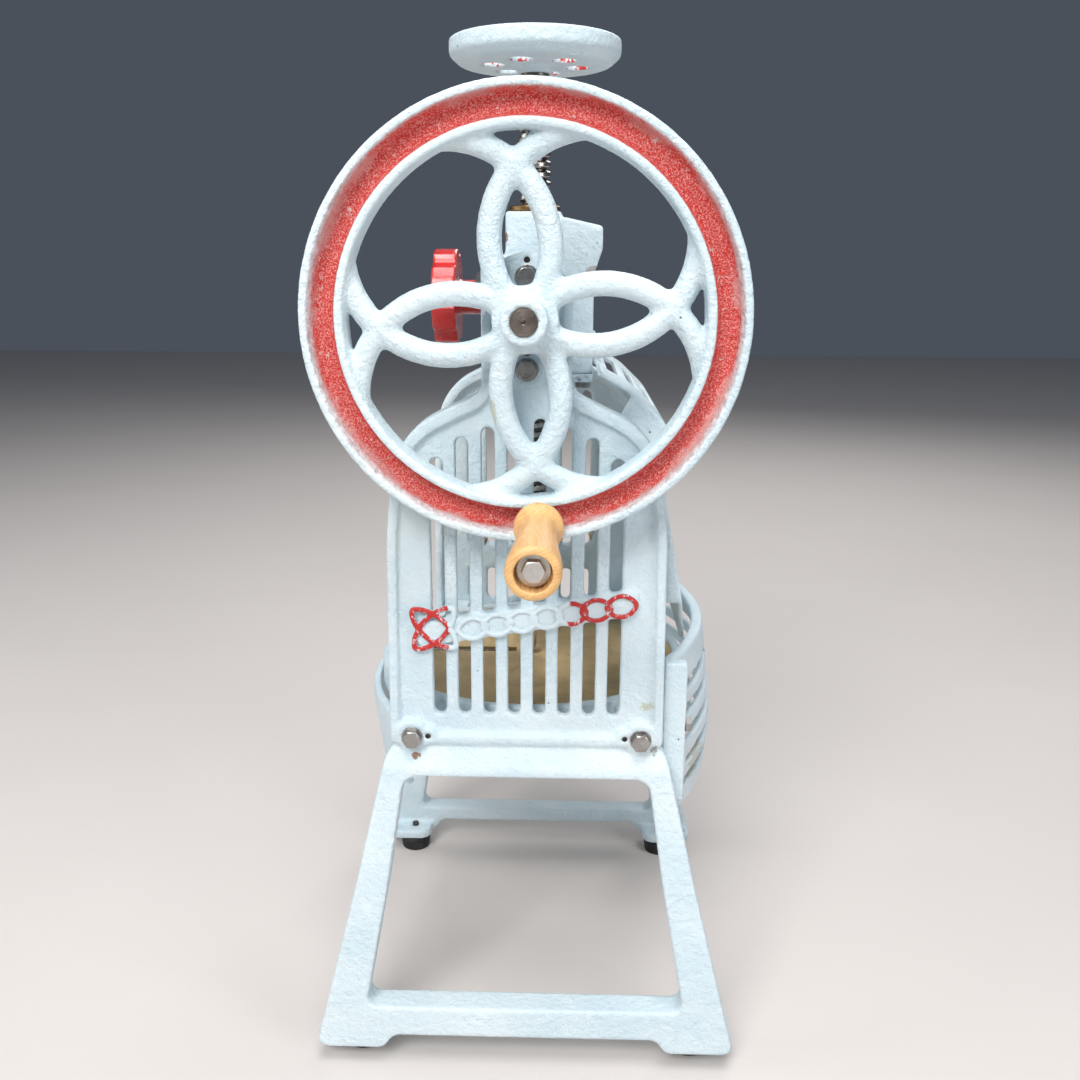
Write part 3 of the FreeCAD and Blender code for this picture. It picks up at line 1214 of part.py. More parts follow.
AT_BRAKE = ("0", "brake_height")


def brake_knob():
    """A lobed wheel, dished in front, on a short hub."""
    disc = rod("knob_disc", "X", "knob_radius", "-knob_outer", "-knob_inner", AT_BRAKE)
    hub = rod("knob_hub", "X", "knob_hub_radius", "-knob_inner", "-knob_hub_end", AT_BRAKE)
    tools = [rod("knob_dish", "X", "knob_dish_radius", "-knob_outer - 1", "-knob_outer + 6",
                 AT_BRAKE),
             rod("knob_bore", "X", "stud_radius", "-knob_outer - 1", "-knob_hub_end + 1",
                 AT_BRAKE)]
    lobes = int(size("knob_lobes"))
    for index in range(lobes):
        angle = 2 * math.pi * (index + 0.5) / lobes
        where = ("(knob_radius + knob_scallop_radius * 0.55) * %.9f" % math.cos(angle),
                 "brake_height + (knob_radius + knob_scallop_radius * 0.55) * %.9f"
                 % math.sin(angle))
        tools.append(rod("knob_scallop_%d" % index, "X", "knob_scallop_radius",
                         "-knob_outer - 1", "-knob_inner + 1", where))
    return cut("brake_knob", fuse("knob_solid", disc, hub), *tools)


node(brake_knob(), "brake_knob")
node(rod("stud_body", "X", "stud_radius", "-knob_outer + 2", "-shoe_start", AT_BRAKE),
     "brake_stud")
node(cut("knob_nut_body", hexagon("knob_nut_blank", "X", "knob_nut_radius",
                                  "-knob_outer + 6 - knob_nut_height", "-knob_outer + 6",
                                  AT_BRAKE),
         rod("knob_nut_bore", "X", "stud_radius", "-knob_outer", "-knob_outer + 9", AT_BRAKE)),
     "knob_nut")
node(rod("shoe_body", "X", "stud_radius + 2", "-shoe_start", "-nut_radius - shoe_gap",
         AT_BRAKE), "brake_shoe")

# ---------------------------------------------------------------- checks and files

doc.recompute()
for thing in doc.Objects:
    if "Invalid" in thing.State or "Error" in thing.State:
        raise RuntimeError("object failed: " + thing.Name)
labels = [thing.Label for thing in NODES]
if len(set(labels)) != len(labels):
    raise RuntimeError("two sub-parts share a name")
os.makedirs("parts", exist_ok=True)
for thing in NODES:
    if thing.Shape.isNull() or not thing.Shape.isValid() or not thing.Shape.Solids:
        raise RuntimeError("bad shape: " + thing.Label)
for thing in NODES:
    thing.Shape.exportStep(os.path.join("parts", thing.Label + ".step"))
    bounds = thing.Shape.BoundBox
    print("%-18s %2d solids  volume %9.0f  x %7.1f %7.1f  y %7.1f %7.1f  z %7.1f %7.1f" % (
        thing.Label, len(thing.Shape.Solids), thing.Shape.Volume, bounds.XMin, bounds.XMax,
        bounds.YMin, bounds.YMax, bounds.ZMin, bounds.ZMax))
print(len(NODES), "sub-parts")
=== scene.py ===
"""Looks for a hand-cranked block ice shaver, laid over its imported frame. Metres, +Z up."""
import json
import math

import bpy
import numpy as np
from mathutils import Matrix, Vector, noise

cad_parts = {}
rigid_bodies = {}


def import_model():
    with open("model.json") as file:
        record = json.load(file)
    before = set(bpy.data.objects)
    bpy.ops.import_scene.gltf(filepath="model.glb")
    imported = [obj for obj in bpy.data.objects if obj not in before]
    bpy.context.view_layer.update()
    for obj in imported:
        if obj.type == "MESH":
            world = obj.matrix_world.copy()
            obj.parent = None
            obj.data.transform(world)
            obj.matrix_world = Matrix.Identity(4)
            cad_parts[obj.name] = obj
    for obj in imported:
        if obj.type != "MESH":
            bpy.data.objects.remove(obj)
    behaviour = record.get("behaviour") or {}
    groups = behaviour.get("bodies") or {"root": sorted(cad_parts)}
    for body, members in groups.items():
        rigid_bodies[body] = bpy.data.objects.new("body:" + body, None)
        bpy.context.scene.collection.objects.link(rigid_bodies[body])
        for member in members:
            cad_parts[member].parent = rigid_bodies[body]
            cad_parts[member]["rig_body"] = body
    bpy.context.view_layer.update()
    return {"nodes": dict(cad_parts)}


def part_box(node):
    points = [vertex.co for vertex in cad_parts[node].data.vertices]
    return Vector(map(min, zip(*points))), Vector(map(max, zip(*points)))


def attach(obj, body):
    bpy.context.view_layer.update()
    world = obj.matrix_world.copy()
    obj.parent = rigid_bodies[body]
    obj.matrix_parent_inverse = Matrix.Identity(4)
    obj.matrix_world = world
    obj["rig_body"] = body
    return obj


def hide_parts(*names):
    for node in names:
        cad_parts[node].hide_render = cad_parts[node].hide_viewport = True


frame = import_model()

scene = bpy.context.scene
NODES = frame["nodes"]
SHAFT_Z = 0.546


# ---------------------------------------------------------------- camera, light, floor

def aim_camera():
    """The camera stands in front of the crank, a little above it, and looks slightly down."""
    data = bpy.data.cameras.new("camera")
    data.sensor_width = 36.0
    data.lens = 35.45
    camera = bpy.data.objects.new("camera", data)
    turn = (Matrix.Rotation(math.radians(1.52), 4, "Z")
            @ Matrix.Rotation(math.radians(90 - 14.77), 4, "X")
            @ Matrix.Rotation(math.radians(0.294), 4, "Z"))
    camera.matrix_world = Matrix.Translation((0.0277, -0.8428, 0.5823)) @ turn
    scene.collection.objects.link(camera)
    scene.camera = camera


def lamp(name, place, target, width, height, watts, colour=(1, 1, 1)):
    """A soft rectangular lamp that faces its target."""
    data = bpy.data.lights.new(name, "AREA")
    data.shape = "RECTANGLE"
    data.size, data.size_y = width, height
    data.energy = watts
    data.color = colour
    thing = bpy.data.objects.new(name, data)
    thing.location = place
    thing.rotation_mode = "QUATERNION"
    thing.rotation_quaternion = (Vector(target) - Vector(place)).to_track_quat("-Z", "Y")
    scene.collection.objects.link(thing)


def light_scene():
    """A bright soft key from above the front, a fill on each side and one behind."""
    lamp("key", (-0.7, -2.1, 2.1), (0, 0, 0.35), 1.2, 0.9, 55, (1.0, 0.99, 0.97))
    lamp("fill", (1.9, -1.6, 1.2), (0, 0, 0.4), 1.2, 1.2, 20, (0.95, 0.975, 1.0))
    lamp("side", (-2.2, -0.2, 1.2), (0, 0, 0.4), 1.4, 1.4, 13, (0.95, 0.98, 1.0))
    lamp("back", (0.6, 2.2, 2.0), (0, 0, 0.4), 1.6, 1.2, 26, (1.0, 0.99, 0.97))
    lamp("top", (0.1, -0.8, 2.7), (0, -0.2, 0.2), 1.4, 1.4, 44, (1.0, 1.0, 1.0))
    world = bpy.data.worlds.new("studio")
    world.use_nodes = True
    world.node_tree.nodes["Background"].inputs["Color"].default_value = (0.068, 0.082, 0.104, 1)
    world.node_tree.nodes["Background"].inputs["Strength"].default_value = 1.0
    scene.world = world
    scene.view_settings.view_transform = "Standard"


# ---------------------------------------------------------------- materials

class Tree:
    """A material whose node tree is built one node at a time."""

    def __init__(self, name, **values):
        self.material = bpy.data.materials.new(name)
        self.material.use_nodes = True
        self.nodes = self.material.node_tree.nodes
        self.links = self.material.node_tree.links
        self.shader = self.nodes["Principled BSDF"]
        self.place = self.nodes.new("ShaderNodeTexCoord").outputs["Object"]
        for key, value in values.items():
            self.shader.inputs[key.replace("_", " ")].default_value = value

    def add(self, kind, inputs=(), **settings):
        """A node of that kind, with some inputs set or linked."""
        made = self.nodes.new("ShaderNode" + kind)
        for key, value in settings.items():
            setattr(made, key, value)
        for key, value in dict(inputs).items():
            if isinstance(value, bpy.types.NodeSocket):
                self.links.new(value, made.inputs[key])
            else:
                made.inputs[key].default_value = value
        return made

    def math(self, operation, first, second=0.0):
        return self.add("Math", {0: first, 1: second}, operation=operation).outputs[0]

    def noise(self, scale, detail=2.0, rough=0.5, place=None, warp=0.0):
        return self.add("TexNoise", {"Vector": place or self.place, "Scale": scale,
                                     "Detail": detail, "Roughness": rough,
                                     "Distortion": warp}).outputs[0]

    def step(self, value, low, high):
        """0 where the value is at low, 1 where it is at high, smooth between."""
        return self.add("MapRange", {"Value": value, "From Min": low, "From Max": high},
                        interpolation_type="SMOOTHSTEP").outputs[0]

    def mix(self, share, first, second):
        """A colour between two others."""
        made = self.nodes.new("ShaderNodeMix")
        made.data_type = "RGBA"
        for socket, value in ((made.inputs[0], share), (made.inputs[6], first),
                              (made.inputs[7], second)):
            if isinstance(value, bpy.types.NodeSocket):
                self.links.new(value, socket)
            elif isinstance(value, tuple):
                socket.default_value = (*value, 1.0)
            else:
                socket.default_value = value
        return made.outputs[2]

    def times(self, *values):
        """The product of some values."""
        total = values[0]
        for value in values[1:]:
            total = self.math("MULTIPLY", total, value)
        return total

    def rougher(self, value, amount, scale, detail=2.0, rough=0.5):
        """A value with an amount of noise added."""
        return self.math("ADD", value, self.times(self.noise(scale, detail, rough), amount))

    def span(self, value, low, high):
        """A share of 0 to 1, spread from low to high."""
        return self.add("MapRange", {"Value": value, "To Min": low, "To Max": high}).outputs[0]

    def convexity(self):
        """High along outer edges, low in hollows."""
        return self.add("NewGeometry").outputs["Pointiness"]

    def vector(self, operation, first, second):
        return self.add("VectorMath", {0: first, 1: second}, operation=operation).outputs[0]

    def length(self, vector):
        return self.add("VectorMath", {0: vector}, operation="LENGTH").outputs["Value"]

    def part(self, axis):
        """One coordinate of the surface point."""
        if not hasattr(self, "_parts"):
            self._parts = self.add("SeparateXYZ", {0: self.place}).outputs
        return self._parts["XYZ".index(axis)]

    def spot(self, centre, sizes):
        """1 at the centre of an ellipsoid, 0 outside it."""
        shifted = self.vector("SUBTRACT", self.place, centre)
        return self.step(self.length(self.vector("DIVIDE", shifted, sizes)), 1.0, 0.15)

    def from_axis(self, axis, centre):
        """Distance from a line along an axis through a centre."""
        keep = tuple(0.0 if name == axis else 1.0 for name in "XYZ")
        shifted = self.vector("SUBTRACT", self.place, centre)
        return self.length(self.vector("MULTIPLY", shifted, keep))

    def bump(self, height, distance, strength=1.0, below=None):
        """Relief on top of the relief below."""
        inputs = {"Height": height, "Distance": distance, "Strength": strength}
        if below is not None:
            inputs["Normal"] = below
        return self.add("Bump", inputs).outputs[0]

    def finish(self, colour=None, rough=None, normal=None, metal=None):
        """Links what varies over the surface to the shader."""
        for key, value in (("Base Color", colour), ("Roughness", rough), ("Normal", normal),
                           ("Metallic", metal)):
            if value is not None:
                self.links.new(value, self.shader.inputs[key])
        return self.material


PALE = (0.665, 0.775, 0.82)
PALE_COOL = (0.575, 0.70, 0.765)
PALE_WARM = (0.75, 0.82, 0.835)
GRIME = (0.30, 0.33, 0.30)
DARK_IRON = (0.035, 0.03, 0.028)
RUST = (0.23, 0.075, 0.02)
YELLOWED = (0.42, 0.36, 0.13)
RED = (0.60, 0.028, 0.022)
RED_WORN = (0.90, 0.46, 0.42)
RED_BRUSHED = (0.52, 0.020, 0.016)
TAPE_BLUE = (0.02, 0.22, 0.55)


def paint_tree(name, seed=0.0, coarse=1.0):
    """Thick pale paint on rough cast iron, with its relief."""
    tree = Tree(name)
    if seed:
        tree.place = tree.vector("ADD", tree.place, (seed, seed * 0.7, -seed))
    broad = tree.step(tree.noise(7.0, 2.0), 0.35, 0.65)
    cloud = tree.step(tree.noise(48.0, 4.0, 0.6), 0.38, 0.70)
    colour = tree.mix(broad, PALE, PALE_COOL)
    colour = tree.mix(tree.times(cloud, 0.35), colour, PALE_WARM)
    grit = tree.noise(620.0, 2.0, 0.65)
    lumps = tree.noise(210.0, 2.0, 0.5)
    shape = tree.convexity()
    stains = tree.step(tree.noise(85.0, 3.0), 0.30, 0.62)
    hollow = tree.times(tree.step(shape, 0.485, 0.43), stains)
    colour = tree.mix(tree.times(hollow, 0.55), colour, GRIME)
    pits = tree.add("TexVoronoi", {"Vector": tree.place, "Scale": 62.0})
    rare = tree.step(tree.add("SeparateColor", {0: pits.outputs["Color"]}).outputs[0], 0.72, 0.78)
    specks = tree.times(tree.step(pits.outputs["Distance"], 0.060, 0.030), rare)
    colour = tree.mix(tree.times(specks, 0.8), colour, DARK_IRON)
    worn = tree.step(tree.rougher(shape, 0.22, 130.0, 4.0, 0.7), 0.695, 0.715)
    rough = tree.span(tree.noise(95.0, 3.0), 0.36, 0.58)
    normal = tree.bump(lumps, 0.0017 * coarse, 0.7)
    normal = tree.bump(grit, 0.00075 * coarse, 0.9, normal)
    normal = tree.bump(tree.times(specks, -1.0), 0.0004, 0.8, normal)
    return tree, colour, worn, rough, normal


def cast_paint(name, seed=0.0, marks=(), coarse=1.0):
    """Pale painted iron; marks are (centre, sizes, colour, share, grain)."""
    tree, colour, worn, rough, normal = paint_tree(name, seed, coarse)
    for centre, sizes, tint, share, grain in marks:
        spot = tree.spot(centre, sizes)
        flecks = tree.step(tree.rougher(spot, 2.2, grain, 5.0, 0.8), 1.72, 1.95)
        inside = tree.step(spot, 0.02, 0.25)
        colour = tree.mix(tree.times(flecks, inside, share), colour, tint)
    colour = tree.mix(tree.times(worn, 0.85), colour, DARK_IRON)
    return tree.finish(colour, rough, normal)


def wheel_paint():
    """The wheel's pale paint, with a rough red channel that has worn pale at its outer edge."""
    tree, colour, worn, rough, normal = paint_tree("wheel_paint", 0.0, 1.35)
    radius = tree.from_axis("Y", (0.0, 0.0, SHAFT_Z))
    ragged = tree.times(tree.math("SUBTRACT", tree.noise(240.0, 4.0, 0.7), 0.5), 0.0030)
    ring = tree.math("ADD", radius, ragged)
    inner_edge, outer_edge, mouth = (0.1174, 0.1182), (0.1336, 0.1322), (-0.1635, -0.1660)
    wall_foot, wall_top = (0.1318, 0.1328), (0.1356, 0.1346)
    # towards the top the red reaches up the channel's outer wall
    reach = tree.add("MapRange", {"Value": tree.part("Z"), "From Min": SHAFT_Z + 0.04,
                                  "From Max": SHAFT_Z + 0.12, "To Min": 0.0,
                                  "To Max": 0.0014}).outputs[0]
    outer = tree.math("SUBTRACT", ring, reach)
    front = tree.step(tree.part("Y"), *mouth)
    channel = tree.times(tree.step(ring, *inner_edge), tree.step(outer, *outer_edge), front)
    sparkle = tree.step(tree.noise(900.0, 2.0, 0.75), 0.46, 0.60)
    patch = tree.step(tree.noise(33.0, 3.0, 0.6), 0.40, 0.62)
    red = tree.mix(tree.times(sparkle, 0.65), RED, RED_WORN)
    edge = tree.step(tree.math("ADD", outer, tree.times(patch, 0.0042)), 0.1312, 0.1362)
    red = tree.mix(tree.times(edge, 0.6), red, (0.70, 0.50, 0.48))
    bare = tree.times(tree.step(tree.noise(150.0, 4.0, 0.8), 0.63, 0.67), 0.9)
    red = tree.mix(bare, red, (0.72, 0.60, 0.56))
    # the bare outer wall is grey and pink: its darker brownish pink is partly painted shade on
    # the wall, partly scuffs
    wall = tree.times(tree.step(ring, *wall_foot), tree.step(ring, *wall_top), front)
    wall_shade_and_scuffs = tree.mix(tree.step(tree.noise(170.0, 4.0, 0.75), 0.40, 0.60),
                       (0.50, 0.42, 0.43), (0.72, 0.74, 0.76))
    colour = tree.mix(tree.times(wall, 0.8), colour, wall_shade_and_scuffs)
    colour = tree.mix(channel, colour, red)
    stain = tree.spot((-0.022, -0.168, 0.487), (0.008, 0.02, 0.022))
    yellow = tree.step(tree.rougher(stain, 0.9, 180.0, 4.0, 0.7), 0.85, 1.15)
    colour = tree.mix(tree.times(yellow, 0.45), colour, YELLOWED)
    colour = tree.mix(tree.times(worn, 0.7), colour, DARK_IRON)
    grain = tree.times(tree.noise(560.0, 3.0, 0.7), channel)
    normal = tree.bump(grain, 0.0012, 0.9, normal)
    return tree.finish(colour, rough, normal)


def dish_paint():
    """The top wheel's pale paint, with red left in its holes."""
    tree, colour, worn, rough, normal = paint_tree("dish_paint", 3.1, 0.8)
    tree.place = tree.add("TexCoord").outputs["Object"]
    ring = tree.from_axis("Z", (0.0, 0.0, 0.0))
    height = tree.part("Z")
    band = tree.times(tree.step(ring, 0.0215, 0.0225), tree.step(ring, 0.0415, 0.0405),
                      tree.step(height, 0.7182, 0.7190), tree.step(height, 0.7232, 0.7222))
    normal_out = tree.add("NewGeometry").outputs["Normal"]
    facing = tree.math("ABSOLUTE", tree.add("SeparateXYZ", {0: normal_out}).outputs[2])
    walls = tree.step(tree.rougher(facing, 0.5, 300.0, 3.0), 1.02, 0.92)
    patchy = tree.step(tree.noise(150.0, 4.0, 0.7), 0.50, 0.56)
    colour = tree.mix(tree.times(band, patchy, walls), colour, RED)
    colour = tree.mix(tree.times(worn, 0.7), colour, DARK_IRON)
    return tree.finish(colour, rough, normal)


def relief_paint():
    """The band's raised ornament: pale paint, with red brushed over its two ends."""
    tree, colour, worn, rough, normal = paint_tree("relief_paint", 0.0, 0.9)
    brushed = tree.times(tree.noise(170.0, 4.0, 0.7), 0.010)
    across = tree.math("ADD", tree.part("X"), brushed)
    ends = tree.math("MAXIMUM", tree.step(across, -0.0490, -0.0500),
                     tree.step(across, 0.0330, 0.0350))
    forward = tree.math("ADD", tree.part("Y"), tree.times(brushed, 0.10))
    raised = tree.step(forward, -0.1430, -0.1440)
    patchy = tree.step(tree.noise(260.0, 4.0, 0.75), 0.66, 0.54)
    colour = tree.mix(tree.times(ends, raised, patchy), colour, RED_BRUSHED)
    colour = tree.mix(tree.times(worn, 0.3), colour, DARK_IRON)
    return tree.finish(colour, rough, normal)


def knob_paint():
    """Glossy red enamel, scuffed at its edges."""
    tree = Tree("knob_enamel", Coat_Weight=0.45, Coat_Roughness=0.12)
    colour = tree.mix(tree.step(tree.noise(70.0, 3.0), 0.35, 0.7), (0.60, 0.018, 0.016),
                      (0.48, 0.012, 0.012))
    worn = tree.step(tree.rougher(tree.convexity(), 0.25, 160.0, 4.0, 0.75), 0.72, 0.75)
    colour = tree.mix(tree.times(worn, 0.8), colour, (0.62, 0.40, 0.36))
    rough = tree.span(tree.noise(120.0, 3.0), 0.20, 0.38)
    normal = tree.bump(tree.noise(150.0, 2.0), 0.0007, 0.5)
    return tree.finish(colour, rough, normal)


def steel(name, colour, dark, rough, scale, turned=None, grime=0.0):
    """Bare steel with fine scratches; turned is (axis, centre) for lathe marks, and grime is
    the share of dirt in its hollows."""
    tree = Tree(name)
    cloud = tree.step(tree.noise(scale * 0.4, 4.0, 0.65), 0.35, 0.72)
    tint = tree.mix(cloud, colour, dark)
    if grime:
        hollow = tree.step(tree.convexity(), 0.50, 0.42)
        tint = tree.mix(tree.times(hollow, grime), tint, (0.035, 0.028, 0.022))
    shine = tree.span(tree.noise(scale, 3.0, 0.6), *rough)
    normal = tree.bump(tree.noise(scale * 2.4, 3.0, 0.7), 0.00012, 0.6)
    if turned:
        radius = tree.from_axis(*turned)
        wave = tree.math("SINE", tree.rougher(tree.times(radius, 9000.0), 3.0, 60.0, 2.0))
        normal = tree.bump(wave, 0.00003, 0.7, normal)
    rusty = tree.step(tree.noise(scale * 0.55, 5.0, 0.7), 0.60, 0.74)
    tint = tree.mix(tree.times(rusty, 0.30), tint, (0.16, 0.08, 0.035))
    metal = tree.math("SUBTRACT", 1.0, tree.times(rusty, 0.35))
    return tree.finish(tint, shine, normal, metal)


def screw_thread_metal():
    """The feed screw: bright crests, thread roots darkened as painted shade in the grooves, and a
    plain collar darkened as painted shadow under the top wheel.
    """
    tree = Tree("screw_thread", Metallic=1.0)
    radius = tree.from_axis("Z", (0.0, 0.0, 0.0))
    # the thread roots are darkened in colour as painted shade in the grooves
    root = tree.step(radius, 0.0112, 0.0095)
    tint = tree.mix(tree.step(tree.noise(90.0, 4.0, 0.6), 0.35, 0.7), (0.60, 0.57, 0.53),
                    (0.42, 0.38, 0.34))
    tint = tree.mix(tree.times(root, 0.80), tint, (0.06, 0.05, 0.045))
    # the collar just under the top wheel is darkened in colour as painted shadow
    collar = tree.times(tree.step(tree.part("Z"), 0.6865, 0.6875), 0.75)
    tint = tree.mix(collar, tint, (0.085, 0.075, 0.065))
    rough = tree.span(tree.noise(200.0, 3.0), 0.16, 0.36)
    normal = tree.bump(tree.noise(500.0, 3.0, 0.6), 0.0001, 0.5)
    return tree.finish(tint, rough, normal)


def disc_brass():
    """The turned blade disc: yellow bronze with fine rings, a little tarnished."""
    tree = Tree("disc_brass", Metallic=1.0, Anisotropic=0.6)
    tree.links.new(tree.add("Tangent", direction_type="RADIAL", axis="Z").outputs[0],
                   tree.shader.inputs["Tangent"])
    radius = tree.from_axis("Z", (0.0, 0.0, 0.0))
    tarnish = tree.step(tree.noise(24.0, 5.0, 0.6, warp=0.6), 0.36, 0.70)
    tint = tree.mix(tarnish, (0.60, 0.41, 0.19), (0.42, 0.285, 0.14))
    # lighter concentric bands in the colour are a painted sheen of the turned rings
    sheen_bands = tree.math("SINE", tree.times(radius, 1500.0))
    tint = tree.mix(tree.times(tree.step(sheen_bands, 0.2, 1.0), 0.16), tint,
                    (0.66, 0.48, 0.25))
    rings = tree.math("SINE", tree.rougher(tree.times(radius, 11000.0), 2.0, 20.0, 2.0))
    rough = tree.span(tree.noise(60.0, 3.0, 0.6), 0.24, 0.38)
    normal = tree.bump(rings, 0.000035, 0.8)
    normal = tree.bump(tree.noise(35.0, 2.0), 0.0006, 0.25, normal)
    return tree.finish(tint, rough, normal)


def grip_maple():
    """Turned maple: grain along the grip, rings on its end, a satin finish."""
    tree = Tree("grip_maple", Coat_Weight=0.12, Coat_Roughness=0.3)
    along = tree.vector("MULTIPLY", tree.place, (1.0, 0.05, 1.0))
    fibre = tree.noise(520.0, 4.0, 0.65, along)
    figure = tree.noise(75.0, 3.0, 0.55, along, 1.2)
    from_pith = tree.vector("SUBTRACT", tree.place, (0.028, 0.0, 0.392))
    distance = tree.length(tree.vector("MULTIPLY", from_pith, (1.0, 0.04, 1.0)))
    rings = tree.math("SINE", tree.math("ADD", tree.times(distance, 3300.0),
                                        tree.times(figure, 5.0)))
    colour = tree.mix(tree.step(figure, 0.3, 0.72), (0.78, 0.47, 0.19), (0.66, 0.35, 0.125))
    colour = tree.mix(tree.times(tree.step(rings, -0.2, 1.0), 0.30), colour,
                      (0.86, 0.58, 0.29))
    colour = tree.mix(tree.times(tree.step(fibre, 0.52, 0.72), 0.35), colour,
                      (0.42, 0.19, 0.06))
    hollow = tree.step(tree.convexity(), 0.49, 0.44)
    colour = tree.mix(tree.times(hollow, 0.5), colour, (0.26, 0.11, 0.04))
    rough = tree.span(fibre, 0.38, 0.58)
    normal = tree.bump(fibre, 0.00018, 0.5)
    return tree.finish(colour, rough, normal)


def rubber():
    """Black rubber, dusty where it is rough."""
    tree = Tree("foot_rubber")
    dust = tree.step(tree.noise(140.0, 4.0, 0.7), 0.5, 0.75)
    colour = tree.mix(dust, (0.012, 0.012, 0.013), (0.05, 0.048, 0.045))
    rough = tree.span(tree.noise(200.0, 3.0), 0.62, 0.88)
    return tree.finish(colour, rough, tree.bump(tree.noise(700.0, 2.0), 0.0002, 0.5))


def bronze():
    """Plain bearing bronze, oily."""
    tree = Tree("bush_bronze", Metallic=1.0)
    colour = tree.mix(tree.step(tree.noise(120.0, 4.0), 0.35, 0.7), (0.42, 0.25, 0.10),
                      (0.22, 0.13, 0.06))
    rough = tree.span(tree.noise(240.0, 3.0), 0.26, 0.46)
    return tree.finish(colour, rough, tree.bump(tree.noise(600.0, 2.0), 0.0001, 0.5))


def floor_pale():
    """A plain pale matt floor, faintly mottled."""
    tree = Tree("floor_pale")
    colour = tree.mix(tree.noise(3.0, 3.0), (0.62, 0.575, 0.55), (0.665, 0.62, 0.595))
    rough = tree.span(tree.noise(8.0, 2.0), 0.72, 0.86)
    return tree.finish(colour, rough, tree.bump(tree.noise(420.0, 2.0), 0.0004, 0.25))


# ---------------------------------------------------------------- shapes

def new_piece(name, points, faces, smooth=True):
    """A mesh object from points and faces, in the row frame."""
    mesh = bpy.data.meshes.new(name)
    mesh.from_pydata([tuple(p) for p in points], [], [tuple(int(i) for i in f) for f in faces])
    mesh.polygons.foreach_set("use_smooth", [smooth] * len(mesh.polygons))
    mesh.update()
    piece = bpy.data.objects.new(name, mesh)
    scene.collection.objects.link(piece)
    return piece


def voxel_skin(thing, voxel):
    """An object's skin as a dense even mesh: points, and faces of four corners. The object
    itself is removed."""
    skin = thing.modifiers.new("skin", "REMESH")
    skin.mode = "VOXEL"
    skin.voxel_size = voxel
    graph = bpy.context.evaluated_depsgraph_get()
    made = bpy.data.meshes.new_from_object(thing.evaluated_get(graph))
    points = np.zeros(len(made.vertices) * 3, np.float32)
    made.vertices.foreach_get("co", points)
    faces = np.zeros(len(made.loops), np.int32)
    made.loops.foreach_get("vertex_index", faces)
    bpy.data.objects.remove(thing)
    bpy.data.meshes.remove(made)
    return points.reshape(-1, 3).astype(float), faces.reshape(-1, 4)


def skin_of(node, voxel):
    """A node's skin as a dense even mesh."""
    thing = bpy.data.objects.new("skin", NODES[node].data.copy())
    scene.collection.objects.link(thing)
    return voxel_skin(thing, voxel)


def point_normals(points, faces):
    """Unit normals at the points of a mesh of four-cornered faces."""
    corner = [points[faces[:, i]] for i in range(4)]
    face_normals = np.cross(corner[2] - corner[0], corner[3] - corner[1])
    total = np.zeros_like(points)
    for i in range(4):
        for k in range(3):
            total[:, k] += np.bincount(faces[:, i], face_normals[:, k], len(points))
    return total / np.maximum(np.linalg.norm(total, axis=1, keepdims=True), 1e-20)


def relaxed(points, faces, ease, fill, free=None):
    """Rounds a dense mesh's edges for ease rounds, then fills its hollow corners for fill
    rounds by moving points outwards only, as a casting's fillets do."""
    start = faces.ravel()
    end = np.roll(faces, -1, axis=1).ravel()
    count = len(points)
    degree = np.bincount(start, minlength=count)[:, None]
    for turn in range(ease + fill):
        mean = np.stack([np.bincount(start, points[end, k], count) for k in range(3)], 1)
        move = mean / degree - points
        if turn >= ease:
            normals = point_normals(points, faces)
            out = np.maximum((move * normals).sum(1), 0.0)
            if free is not None:
                out = out * free
            move = normals * out[:, None]
        points = points + move * 0.5
    return points


def grained(points, faces, depth):
    """Presses a casting's sand texture into a dense mesh, inwards only."""
    lumps = np.array([noise.noise(p * 150.0) + 0.7 * noise.noise(p * 390.0)
                      for p in map(Vector, points)])
    return points + point_normals(points, faces) * ((lumps - 0.75) * 0.5 * depth)[:, None]


def near_small_holes(points):
    """The points round the frames' locating screws and round the holes in their pads."""
    screw_reach, pad_reach, pad_top = 0.0035, 0.0062, 0.024
    near = np.zeros(len(points), bool)
    for x, z in ((0, 0.582), (0, 0.5235), (0.0704, 0.252), (-0.0704, 0.252)):
        near |= np.hypot(points[:, 0] - x, points[:, 2] - z) < screw_reach
    pads = points[:, 2] < pad_top
    for x in (-0.145, 0.145, -0.124, 0.124):
        for y in (-0.148, -0.146, 0.131, 0.133):
            near |= pads & (np.hypot(points[:, 0] - x, points[:, 1] - y) < pad_reach)
    return near


def near_hub_and_rim(points):
    """The points of the wheel's hub and of its channelled rim."""
    hub_reach, rim_start = 0.0152, 0.1165
    radius = np.hypot(points[:, 0], points[:, 2] - SHAFT_Z)
    return (radius < hub_reach) | (radius > rim_start)


def cast(node, voxel, material, ease, fill, depth, hold=None):
    """Stands a soft-edged, sand-grained casting in a node's place. hold gives the points
    whose corners stay unfilled, such as a bore's."""
    low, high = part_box(node)
    points, faces = skin_of(node, voxel)
    free = None if hold is None else np.where(hold(points), 0.0, 1.0)
    points = relaxed(points, faces, ease, fill, free)
    points = np.clip(grained(points, faces, depth), low, high)
    piece = new_piece("cast_" + node, points, faces)
    piece.data.materials.append(material)
    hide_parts(node)
    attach(piece, NODES[node]["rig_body"])


def ring_faces(rings, sides):
    """Faces of a closed bar whose points stand in rings, one after another."""
    faces = []
    for i in range(rings - 1):
        for j in range(sides):
            k = (j + 1) % sides
            faces.append((i * sides + j, i * sides + k, (i + 1) * sides + k,
                          (i + 1) * sides + j))
    faces.append(tuple(range(sides - 1, -1, -1)))
    faces.append(tuple((rings - 1) * sides + j for j in range(sides)))
    return faces


